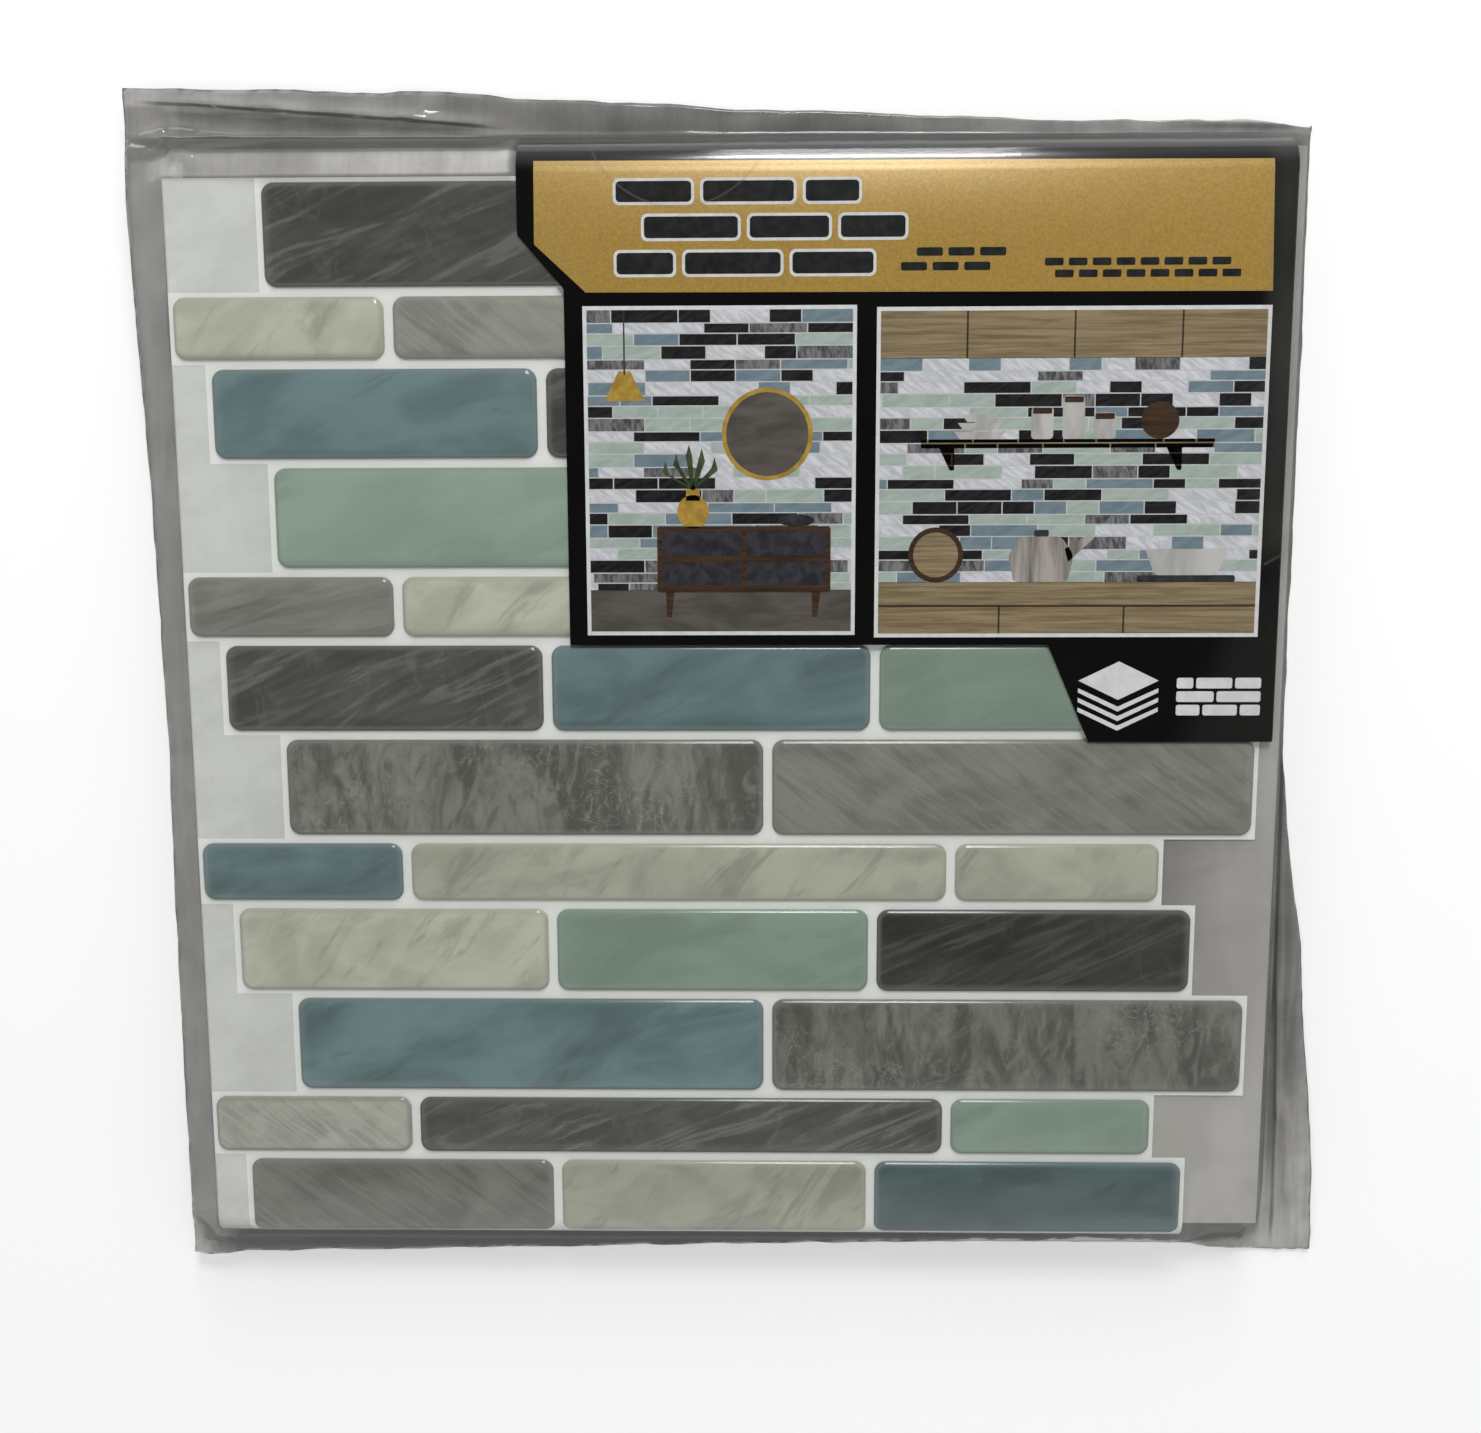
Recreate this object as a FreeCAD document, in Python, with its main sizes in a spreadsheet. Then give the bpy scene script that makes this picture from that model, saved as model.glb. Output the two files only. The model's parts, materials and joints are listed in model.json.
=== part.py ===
import FreeCAD, Part
import math
import os
import re
import Sketcher
from FreeCAD import Vector

# A retail pack of ten peel and stick gel tile sheets, lying face up.
# Each sheet is a paper liner, a white vinyl backing and thirty-two raised gel tiles.
# The tiles lie in twelve courses: tall, short and middling, four times over.
# The sheets are packed in pairs, back to back, with every second sheet face down.
# A folded header card covers the upper right of the top sheet, and a clear film sleeve holds all.
# X is to the right, Y is up the face of the sheet and Z is up from the floor.
# The origin is under the middle of the pack, on the floor.

SIZES = {
    # courses of the sheet
    "tall_course": 27.6,
    "short_course": 16.8,
    "middle_course": 24.3,
    "grout_gap": 2.5,
    "course_sets": 4,
    "row_width": 274.3,
    "middle_step": 9.7,
    "tall_step": 25.7,
    "short_end": 57.9,
    # section of the sheet
    "liner_thickness": 0.15,
    "vinyl_thickness": 0.3,
    "gel_height": 1.5,
    "tile_corner": 3.5,
    "shoulder_run": 1.5,
    # places of the sheets below the top one
    "back_shift_right": 6.9,
    "back_shift_up": 6.5,
    "pair_slip": 1.2,
    # bend of the top sheet's foot, over the feet of the sheets below
    "lip_clearance": 0.3,
    "lip_radius": 5.0,
    "lip_angle": 50.0,
    # header card
    "card_thickness": 0.4,
    "card_width": 209.0,
    "card_from_right": 3.0,
    "card_drop": 154.3,
    "card_notch_width": 12.3,
    "card_notch_start": 15.9,
    "card_notch_slope": 14.2,
    "card_body_drop": 126.9,
    "card_tab_width": 51.5,
    "card_tab_slant": 12.0,
    "card_fold_radius": 10.0,
    "card_fold_reach": 0.2,
    "card_end_clearance": 1.0,
    # film sleeve
    "film_thickness": 0.25,
    "film_clearance": 0.3,
    "sleeve_shoulder": 3.0,
    "sleeve_shoulder_run": 2.0,
    "sleeve_left": 15.5,
    "sleeve_left_slope": 12.5,
    "sleeve_right": 5.2,
    "sleeve_right_slope": 4.4,
    "sleeve_low": 11.0,
    "sleeve_low_slope": 9.2,
    "sleeve_high": 3.7,
    "sleeve_high_slope": 4.4,
    "flange_left": 13.0,
    "flange_right": 1.2,
    "flap_width": 17.0,
    "flap_waist": 12.0,
    "flap_waist_height": 66.0,
    "flap_height": 150.0,
}

SHEETS = 10

COURSE_SET = "(tall_course + short_course + middle_course + 3 * grout_gap)"
SHEET_HEIGHT = f"(course_sets * {COURSE_SET})"
BASE_WIDTH = "(row_width + grout_gap)"
SHEET_WIDTH = f"({BASE_WIDTH} + tall_step)"
BACKING = "(liner_thickness + vinyl_thickness)"
SHEET_THICKNESS = f"({BACKING} + gel_height)"

# Where each kind of course starts above the foot of its set, and how its tiles divide the row.
SHORT_FOOT = "(middle_course + grout_gap)"
TALL_FOOT = "(middle_course + short_course + 2 * grout_gap)"
MIDDLE_TILE = "((row_width - 2 * grout_gap) / 3)"
TALL_TILE = "((row_width - grout_gap) / 2)"
SHORT_LONG = "(row_width - 2 * short_end - 2 * grout_gap)"
COURSES = {
    "tall": {"foot": TALL_FOOT, "height": "tall_course", "step": "tall_step",
             "tiles": [TALL_TILE, TALL_TILE]},
    "short": {"foot": SHORT_FOOT, "height": "short_course", "step": "0",
              "tiles": ["short_end", SHORT_LONG, "short_end"]},
    "middle": {"foot": "0", "height": "middle_course", "step": "middle_step",
               "tiles": [MIDDLE_TILE, MIDDLE_TILE, MIDDLE_TILE]},
}

# The top sheet's foot bends down along a line just past the feet of the sheets below.
# The tail is what is left of the sheet below the bend, measured along its middle.
BEND_LINE = "(back_shift_up + lip_clearance)"
BEND_LENGTH = f"((lip_radius + {SHEET_THICKNESS} / 2) * lip_angle * pi / 180)"
LIP_TAIL = f"({BEND_LINE} - {BEND_LENGTH})"

# The sleeve's outer edges, from the top sheet's lower left corner.
STACK_RIGHT = f"({SHEET_WIDTH} + back_shift_right)"
STACK_TOP_EDGE = f"({SHEET_HEIGHT} + back_shift_up)"
SLEEVE_RIGHT = f"({STACK_RIGHT} + sleeve_right)"
SLEEVE_TOP_EDGE = f"({STACK_TOP_EDGE} + sleeve_high + card_fold_radius / 2)"
SLEEVE_WIDTH = f"({SLEEVE_RIGHT} + sleeve_left)"
SLEEVE_LENGTH = f"({SLEEVE_TOP_EDGE} + sleeve_low)"
MIDDLE_X = f"(({SLEEVE_RIGHT} + flap_width - sleeve_left) / 2)"
MIDDLE_Y = f"(({SLEEVE_TOP_EDGE} + flange_left - sleeve_low) / 2)"
STACK_HEIGHT = f"(film_thickness + {SHEETS} * {SHEET_THICKNESS})"
SLEEVE_HEIGHT = f"({STACK_HEIGHT} + card_thickness + film_clearance + film_thickness)"
TOP_SHEET_FOOT = f"film_thickness + {SHEETS - 1} * {SHEET_THICKNESS}"
TOP_SHEET_FACE = f"{TOP_SHEET_FOOT} + {BACKING}"

doc = FreeCAD.newDocument("TilePack")
sheet = doc.addObject("Spreadsheet::Sheet", "Sizes")
for row, (alias, number) in enumerate(SIZES.items(), start=1):
    sheet.set(f"A{row}", alias)
    sheet.set(f"B{row}", str(number))
    sheet.setAlias(f"B{row}", alias)
doc.recompute()

made = []


def bind(thing, path, formula):
    """Let a property follow a formula written with the names of the sizes."""
    for word in set(re.findall(r"[a-z_]+", formula)) & set(SIZES):
        formula = re.sub(rf"\b{word}\b", f"Sizes.{word}", formula)
    thing.setExpression(path, formula)


def new_body(label):
    """Start one piece of the pack."""
    body = doc.addObject("PartDesign::Body", label)
    body.Label = label
    made.append(body)
    return body


def place(body, right="0", up="0", high="0", face_down=False):
    """Put a piece by its distances from the top sheet's lower left corner and the floor."""
    turn = FreeCAD.Rotation(Vector(0, 1, 0), 180 if face_down else 0)
    body.Placement = FreeCAD.Placement(Vector(), turn)
    bind(body, "Placement.Base.x", f"{right} - {MIDDLE_X}")
    bind(body, "Placement.Base.y", f"{up} - {MIDDLE_Y}")
    bind(body, "Placement.Base.z", high)


def new_sketch(body, label, plane="XY_Plane", offset=None):
    """A sketch on one of the body's own origin planes, raised by a formula where one is given."""
    sketch = body.newObject("Sketcher::SketchObject", label)
    support = [item for item in body.Origin.OriginFeatures if item.Role == plane][0]
    sketch.AttachmentSupport = [(support, "")]
    sketch.MapMode = "FlatFace"
    if offset:
        bind(sketch, "AttachmentOffset.Base.z", offset)
    return sketch


def measure(sketch, kind, ends, formula, drawn=1.0):
    """Add one driving measure, as large as it is drawn, and let it follow a formula."""
    index = sketch.addConstraint(Sketcher.Constraint(kind, *ends, drawn))
    bind(sketch, f"Constraints[{index}]", formula)


def add_rectangle(sketch, left, low, width, height):
    """A rectangle set by its lower left corner and its two sides."""
    first = sketch.GeometryCount
    corners = [Vector(1, 1), Vector(2, 1), Vector(2, 2), Vector(1, 2)]
    for side in range(4):
        line = Part.LineSegment(corners[side], corners[(side + 1) % 4])
        sketch.addGeometry(line, False)
    for side in range(4):
        ends = (first + side, 2, first + (side + 1) % 4, 1)
        sketch.addConstraint(Sketcher.Constraint("Coincident", *ends))
        way = "Horizontal" if side % 2 == 0 else "Vertical"
        sketch.addConstraint(Sketcher.Constraint(way, first + side))
    measure(sketch, "DistanceX", (-1, 1, first, 1), left)
    measure(sketch, "DistanceY", (-1, 1, first, 1), low)
    measure(sketch, "DistanceX", (first, 1, first, 2), width)
    measure(sketch, "DistanceY", (first + 1, 1, first + 1, 2), height)


def add_round_rectangle(sketch, left, low, width, height, radius):
    """A rectangle with round corners, set by its lower left corner, its two sides and the radius."""
    first = sketch.GeometryCount
    corner = 4
    centres = [Vector(60, 20), Vector(60, 40), Vector(20, 40), Vector(20, 20)]
    for side in range(4):
        end = math.pi / 2 * side
        circle = Part.Circle(centres[side], Vector(0, 0, 1), corner)
        sketch.addGeometry(Part.ArcOfCircle(circle, end - math.pi / 2, end), False)
        away = Vector(math.cos(end), math.sin(end)) * corner
        line = Part.LineSegment(centres[side] + away, centres[(side + 1) % 4] + away)
        sketch.addGeometry(line, False)
    for side in range(4):
        arc = first + 2 * side
        following = first + 2 * ((side + 1) % 4)
        sketch.addConstraint(Sketcher.Constraint("Tangent", arc, 2, arc + 1, 1))
        sketch.addConstraint(Sketcher.Constraint("Tangent", arc + 1, 2, following, 1))
        sketch.addConstraint(Sketcher.Constraint("Horizontal" if side % 2 else "Vertical", arc + 1))
        if side:
            sketch.addConstraint(Sketcher.Constraint("Equal", first, arc))
    right_side, top_side, left_side, low_side = range(first + 1, first + 8, 2)
    measure(sketch, "Radius", (first,), radius, corner)
    measure(sketch, "DistanceX", (-1, 1, left_side, 1), left, 16)
    measure(sketch, "DistanceY", (-1, 1, low_side, 1), low, 16)
    measure(sketch, "DistanceX", (left_side, 1, right_side, 1), width, 48)
    measure(sketch, "DistanceY", (low_side, 1, top_side, 1), height, 28)


def add_polygon(sketch, corners):
    """A closed outline of straight sides, each corner set by its two distances from the origin."""
    first = sketch.GeometryCount
    count = len(corners)
    for side in range(count):
        start = Vector(100 + 10 * side, 100 + 7 * side * side, 0)
        end = Vector(110 + 10 * side, 100 + 7 * (side + 1) ** 2, 0)
        sketch.addGeometry(Part.LineSegment(start, end), False)
    for side in range(count):
        ends = (first + side, 2, first + (side + 1) % count, 1)
        sketch.addConstraint(Sketcher.Constraint("Coincident", *ends))
    for side, (across, up) in enumerate(corners):
        measure(sketch, "DistanceX", (-1, 1, first + side, 1), across)
        measure(sketch, "DistanceY", (-1, 1, first + side, 1), up)


def add_bent_strip(sketch, foot, flat, tail, radius, thickness):
    """The side view of a strip: flat, then bent down in an arc, then a straight tail.

    The bend line lies above the foot by the given height. The radius is that of the strip's underside.
    """
    axis = Vector(30, -5, 0)
    drawn_radius = 5
    drawn_thickness = 1
    turn = math.radians(50)
    along = Vector(-math.cos(turn), -math.sin(turn), 0)
    outward = Vector(-math.sin(turn), math.cos(turn), 0)
    outlines = []
    for ring in (drawn_radius, drawn_radius + drawn_thickness):
        crest = axis + Vector(0, ring, 0)
        start = axis + outward * ring
        circle = Part.Circle(axis, Vector(0, 0, 1), ring)
        top = math.pi / 2
        outlines.append((crest + Vector(10, 0, 0), crest, start, start + along * 2))
        sketch.addGeometry(Part.ArcOfCircle(circle, top, top + turn), False)
    for head, crest, start, end in outlines:
        sketch.addGeometry(Part.LineSegment(head, crest), False)
        sketch.addGeometry(Part.LineSegment(start, end), False)
    sketch.addGeometry(Part.LineSegment(outlines[0][0], outlines[1][0]), False)
    sketch.addGeometry(Part.LineSegment(outlines[0][3], outlines[1][3]), False)
    under_arc, over_arc, under_flat, under_tail, over_flat, over_tail, head_end, foot_end = range(8)
    for flat_side, arc, tail_side in ((under_flat, under_arc, under_tail), (over_flat, over_arc, over_tail)):
        sketch.addConstraint(Sketcher.Constraint("Tangent", flat_side, 2, arc, 1))
        sketch.addConstraint(Sketcher.Constraint("Tangent", arc, 2, tail_side, 1))
        sketch.addConstraint(Sketcher.Constraint("Horizontal", flat_side))
    for side, side_end, joined, joined_end in (
        (head_end, 1, under_flat, 1), (head_end, 2, over_flat, 1),
        (foot_end, 1, under_tail, 2), (foot_end, 2, over_tail, 2), (under_arc, 3, over_arc, 3),
    ):
        sketch.addConstraint(Sketcher.Constraint("Coincident", side, side_end, joined, joined_end))
    sketch.addConstraint(Sketcher.Constraint("Vertical", head_end))
    sketch.addConstraint(Sketcher.Constraint("Parallel", under_tail, over_tail))
    sketch.addConstraint(Sketcher.Constraint("Perpendicular", foot_end, over_tail))
    measure(sketch, "DistanceX", (-1, 1, under_arc, 3), foot, axis.x)
    measure(sketch, "DistanceY", (under_arc, 3, -1, 1), radius, drawn_radius)
    measure(sketch, "Radius", (under_arc,), radius, drawn_radius)
    measure(sketch, "DistanceY", (head_end, 1, head_end, 2), thickness, drawn_thickness)
    measure(sketch, "DistanceX", (under_flat, 2, under_flat, 1), flat, 10)
    measure(sketch, "Distance", (over_tail,), tail, 2)
    measure(sketch, "Angle", (under_arc,), "lip_angle", turn)


def pad(body, sketch, label, length):
    """Raise a sketch by a length that follows a formula."""
    feature = body.newObject("PartDesign::Pad", label)
    feature.Profile = sketch
    bind(feature, "Length", length)
    sketch.Visibility = False
    return feature


def repeat_up(body, feature, sketch, label):
    """Repeat a feature once for each set of courses, up the sheet."""
    pattern = body.newObject("PartDesign::LinearPattern", label)
    pattern.Originals = [feature]
    pattern.Direction = (sketch, ["V_Axis"])
    bind(pattern, "Length", f"(course_sets - 1) * {COURSE_SET}")
    bind(pattern, "Occurrences", "course_sets")
    body.Tip = pattern
    return pattern


def add_backing(body, thickness):
    """The sheet's outline: a straight left side, and steps on the right that follow the courses."""
    base = new_sketch(body, "BackingOutline")
    add_rectangle(base, "0", "0", BASE_WIDTH, SHEET_HEIGHT)
    pad(body, base, "Backing", thickness)
    for kind in ("middle", "tall"):
        course = COURSES[kind]
        step = new_sketch(body, f"{kind.title()}StepOutline")
        add_rectangle(step, BASE_WIDTH, course["foot"], course["step"], f"{course['height']} + grout_gap")
        raised = pad(body, step, f"{kind.title()}Step", thickness)
        repeat_up(body, raised, step, f"{kind.title()}Steps")


def bend_foot(body, thickness, radius):
    """Cut the layer's flat foot away below the bend line and put the bent foot in its place."""
    width = f"{BASE_WIDTH} + middle_step"
    foot = new_sketch(body, "FlatFoot")
    add_rectangle(foot, "0", "0", width, BEND_LINE)
    cut = body.newObject("PartDesign::Pocket", "FootCut")
    cut.Profile = foot
    cut.Type = "ThroughAll"
    cut.Midplane = True
    section = new_sketch(body, "LipSection", "YZ_Plane")
    overlap = "grout_gap"
    add_bent_strip(section, BEND_LINE, overlap, LIP_TAIL, radius, thickness)
    pad(body, section, "Lip", width)


def tile_places():
    """Every gel tile of one set of courses: its kind, letter, left side, foot, width and height."""
    for kind, course in COURSES.items():
        left = f"grout_gap / 2 + {course['step']}"
        foot = f"grout_gap / 2 + {course['foot']}"
        for letter, width in zip("abc", course["tiles"]):
            yield kind, letter, left, foot, width, course["height"]
            left = f"{left} + {width} + grout_gap"


def make_packed_sheet(number):
    """A whole sheet below the top one: backing and tiles as one solid, with the joints cut in.

    Only the lowest sheet shows its tiles, on the pack's underside. In the others, whose faces
    lie against each other, the tiles of a course are one raised bar.
    """
    body = new_body(f"sheet_{number:02d}")
    add_backing(body, BACKING)
    outline = new_sketch(body, "TileOutlines", offset=BACKING)
    if number == SHEETS:
        for kind, letter, left, foot, width, height in tile_places():
            add_rectangle(outline, left, foot, width, height)
    else:
        for course in COURSES.values():
            left = f"grout_gap / 2 + {course['step']}"
            add_rectangle(outline, left, f"grout_gap / 2 + {course['foot']}", "row_width", course["height"])
    raised = pad(body, outline, "GelTiles", "gel_height")
    repeat_up(body, raised, outline, "GelTileSets")
    below = f"film_thickness + {SHEETS - number} * {SHEET_THICKNESS}"
    slip = f"pair_slip * {(number // 2) % 3}"
    if number % 2 == 0:
        place(body, f"{STACK_RIGHT} - {slip}", "back_shift_up", f"{below} + {SHEET_THICKNESS}", True)
    else:
        place(body, slip, f"back_shift_up - {slip}", below)


def make_top_layer(label, foot, thickness):
    """One layer of the top sheet's backing, at its height in the sheet, with its foot bent down."""
    body = new_body(label)
    add_backing(body, thickness)
    bend_foot(body, thickness, f"lip_radius + {foot}")
    place(body, high=f"film_thickness + {SHEETS - 1} * {SHEET_THICKNESS} + {foot}")


def rim_edges(shape):
    """The edges between a tile's upright sides and its upper face."""
    names = []
    for index, edge in enumerate(shape.Edges, start=1):
        normals = [face_normal(face) for face in shape.ancestorsOfType(edge, Part.Face)]
        if any(abs(normal.z) < 0.01 for normal in normals) and any(normal.z > 0.3 for normal in normals):
            names.append(f"Edge{index}")
    return names


def face_normal(face):
    """The outward normal at the middle of a face."""
    low_u, high_u, low_v, high_v = face.ParameterRange
    return face.normalAt((low_u + high_u) / 2, (low_v + high_v) / 2)


def make_gel_tile(label, left, foot, width, height):
    """One raised gel tile of the top sheet, with round corners and sides that slope in to its top."""
    body = new_body(label)
    outline = new_sketch(body, "TileOutline")
    add_round_rectangle(outline, "0", "0", width, height, "tile_corner")
    raised = pad(body, outline, "Gel", "gel_height")
    bind(raised, "TaperAngle", "-atan(shoulder_run / gel_height)")
    place(body, left, foot, TOP_SHEET_FACE)


def make_bent_gel_tile(label, left, foot, width, height):
    """A tile of the lowest course: a bent strip, trimmed to the tile's outline from above."""
    body = new_body(label)
    section = new_sketch(body, "TileSection", "YZ_Plane")
    bend_line = f"({BEND_LINE} - ({foot}))"
    head = f"({height} - {bend_line})"
    tail = f"({LIP_TAIL} - ({foot}))"
    add_bent_strip(section, bend_line, head, f"{tail} + tile_corner", f"lip_radius + {BACKING}", "gel_height")
    raised = pad(body, section, "Gel", width)
    reach = f"((lip_radius + {SHEET_THICKNESS} / 2) * sin(lip_angle) + {tail} * cos(lip_angle))"
    outline = new_sketch(body, "TrimOutline")
    trim_width = f"{width} + 2 * tile_corner"
    trim_height = f"{height} + 3 * tile_corner"
    add_rectangle(outline, "-tile_corner", "-2 * tile_corner", trim_width, trim_height)
    add_round_rectangle(outline, "0", f"{bend_line} - {reach}", width, f"{head} + {reach}", "tile_corner")
    trim = body.newObject("PartDesign::Pocket", "Trim")
    trim.Profile = outline
    trim.Type = "ThroughAll"
    trim.Midplane = True
    doc.recompute()
    shoulder = body.newObject("PartDesign::Chamfer", "Shoulder")
    shoulder.Base = (trim, rim_edges(trim.Shape))
    bind(shoulder, "Size", "shoulder_run / 2")
    place(body, left, foot, TOP_SHEET_FACE)


def make_gel_tiles():
    """All tiles of the top sheet, counted from its top course down and from left to right."""
    order = {"tall": 1, "short": 2, "middle": 3}
    sets = int(SIZES["course_sets"])
    for course_set in range(sets):
        for kind, letter, left, foot, width, height in tile_places():
            course = 3 * course_set + order[kind]
            up = f"{foot} + {sets - 1 - course_set} * {COURSE_SET}"
            lowest = course == 3 * sets
            make = make_bent_gel_tile if lowest else make_gel_tile
            make(f"gel_tile_{course:02d}_{letter}", left, up, width, height)


def make_header_card():
    """The printed card: a stepped front panel that bends down over the top end of the sheets."""
    body = new_body("header_card")
    outline = new_sketch(body, "PanelOutline")
    add_polygon(outline, [
        ("0", "card_drop"),
        ("0", "card_drop - card_notch_start"),
        ("card_notch_width", "card_drop - card_notch_start - card_notch_slope"),
        ("card_notch_width", "card_drop - card_body_drop"),
        ("card_width - card_tab_width - card_tab_slant", "card_drop - card_body_drop"),
        ("card_width - card_tab_width", "0"),
        ("card_width", "0"),
        ("card_width", "card_drop"),
    ])
    pad(body, outline, "Panel", "card_thickness")
    fold = new_sketch(body, "FoldSection", "YZ_Plane")
    add_fold_section(fold)
    pad(body, fold, "Fold", "card_width")
    right = f"{SHEET_WIDTH} + card_from_right - card_width"
    place(body, right, f"{SHEET_HEIGHT} + card_fold_reach - card_drop", STACK_HEIGHT)


def add_fold_section(sketch):
    """The card's section at its bend: a quarter ring, then a straight flap down the end."""
    outer = SIZES["card_fold_radius"]
    inner = outer - SIZES["card_thickness"]
    across = SIZES["card_drop"]
    centre = Vector(across, -inner, 0)
    low = centre.y - outer
    upward = Vector(0, 0, 1)
    for radius in (outer, inner):
        ring = Part.Circle(centre, upward, radius)
        sketch.addGeometry(Part.ArcOfCircle(ring, 0, math.pi / 2), False)
    points = [
        (Vector(across, centre.y + inner, 0), Vector(across, centre.y + outer, 0)),
        (Vector(across + outer, centre.y, 0), Vector(across + outer, low, 0)),
        (Vector(across + outer, low, 0), Vector(across + inner, low, 0)),
        (Vector(across + inner, low, 0), Vector(across + inner, centre.y, 0)),
    ]
    for start, end in points:
        sketch.addGeometry(Part.LineSegment(start, end), False)
    joins = [(2, 1, 1, 2), (2, 2, 0, 2), (0, 1, 3, 1), (3, 2, 4, 1), (4, 2, 5, 1), (5, 2, 1, 1)]
    for ends in joins:
        sketch.addConstraint(Sketcher.Constraint("Coincident", *ends))
    sketch.addConstraint(Sketcher.Constraint("Coincident", 0, 3, 1, 3))
    for upright in (2, 3, 5):
        sketch.addConstraint(Sketcher.Constraint("Vertical", upright))
    sketch.addConstraint(Sketcher.Constraint("Horizontal", 4))
    sketch.addConstraint(Sketcher.Constraint("Horizontal", 0, 3, 0, 1))
    sketch.addConstraint(Sketcher.Constraint("Horizontal", 1, 3, 1, 1))
    sketch.addConstraint(Sketcher.Constraint("Vertical", 0, 3, 0, 2))
    measure(sketch, "Radius", (0,), "card_fold_radius", outer)
    measure(sketch, "DistanceX", (-1, 1, 2, 1), "card_drop", across)
    measure(sketch, "DistanceY", (2, 1, 2, 2), "card_thickness", outer - inner)
    measure(sketch, "DistanceY", (-1, 1, 2, 2), "card_thickness", outer - inner)
    reach = f"{STACK_HEIGHT} + card_thickness - card_fold_radius - film_thickness - card_end_clearance"
    measure(sketch, "DistanceY", (3, 2, 3, 1), reach, outer)


def sleeve_outline(body, label, high, inset, slope, roof):
    """One level of the sleeve: its sides lean in up to the shoulder, and more from there to the roof."""
    left = f"({inset} + {slope} * sleeve_left_slope + {roof} * sleeve_shoulder_run)"
    low = f"({inset} + {slope} * sleeve_low_slope + {roof} * sleeve_shoulder_run)"
    right = f"({inset} + {slope} * sleeve_right_slope + {roof} * sleeve_shoulder_run)"
    top = f"({inset} + {slope} * sleeve_high_slope + {roof} * sleeve_shoulder_run)"
    sketch = new_sketch(body, label, offset=high)
    add_rectangle(sketch, left, low, f"{SLEEVE_WIDTH} - {left} - {right}", f"{SLEEVE_LENGTH} - {low} - {top}")
    return sketch


def sleeve_levels(body, label, inset):
    """The sleeve's outlines at the floor, at the shoulder and at the roof."""
    return [
        sleeve_outline(body, f"{label}Floor", inset, inset, 0, 0),
        sleeve_outline(body, f"{label}Shoulder", f"{SLEEVE_HEIGHT} - sleeve_shoulder", inset, 1, 0),
        sleeve_outline(body, f"{label}Roof", f"{SLEEVE_HEIGHT} - {inset}", inset, 1, 1),
    ]


def make_sleeve():
    """The clear film sleeve: a hollow shell round the stack, a sealed top flange and a side flap."""
    body = new_body("clear_film_sleeve")
    for kind, label, inset in (("Additive", "Shell", "0"), ("Subtractive", "Hollow", "film_thickness")):
        levels = sleeve_levels(body, label, inset)
        loft = body.newObject(f"PartDesign::{kind}Loft", label)
        loft.Profile = levels[0]
        loft.Sections = levels[1:]
        loft.Ruled = True
    seal = new_sketch(body, "FlangeOutline")
    add_polygon(seal, [
        ("0", f"{SLEEVE_LENGTH} - film_thickness"),
        (SLEEVE_WIDTH, f"{SLEEVE_LENGTH} - film_thickness"),
        (SLEEVE_WIDTH, f"{SLEEVE_LENGTH} + flange_right"),
        ("0", f"{SLEEVE_LENGTH} + flange_left"),
    ])
    pad(body, seal, "TopFlange", "2 * film_thickness")
    flap = new_sketch(body, "FlapOutline")
    add_polygon(flap, [
        (f"{SLEEVE_WIDTH} - film_thickness", "0"),
        (f"{SLEEVE_WIDTH} + flap_width", "0"),
        (f"{SLEEVE_WIDTH} + flap_waist", "flap_waist_height"),
        (f"{SLEEVE_WIDTH} - film_thickness", "flap_height"),
    ])
    pad(body, flap, "SideFlap", "2 * film_thickness")
    place(body, "-sleeve_left", "-sleeve_low")


def save_all():
    """Check every feature and every piece, then write each piece to its own file."""
    doc.recompute()
    for thing in doc.Objects:
        if "Invalid" in thing.State or "Error" in thing.State:
            raise RuntimeError(f"{thing.Name} failed: {thing.State}")
    os.makedirs("parts", exist_ok=True)
    for body in made:
        shape = body.Shape
        if shape.isNull() or not shape.isValid() or len(shape.Solids) != 1:
            raise RuntimeError(f"{body.Label} is not one valid solid: {len(shape.Solids)}")
        shape.exportStep(f"parts/{body.Label}.step")
        box = shape.BoundBox
        print(f"{body.Label}: {shape.Volume:.0f} mm3, z {box.ZMin:.2f} to {box.ZMax:.2f}")


for number in range(SHEETS, 1, -1):
    make_packed_sheet(number)
make_top_layer("release_liner", "0", "liner_thickness")
make_top_layer("vinyl_backing", "liner_thickness", "vinyl_thickness")
make_gel_tiles()
make_header_card()
make_sleeve()
save_all()
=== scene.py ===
"""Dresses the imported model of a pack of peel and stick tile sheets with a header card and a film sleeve."""
import json
import math
import random

import bmesh
import bpy
import numpy as np
from mathutils import Matrix, Vector, noise


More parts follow.
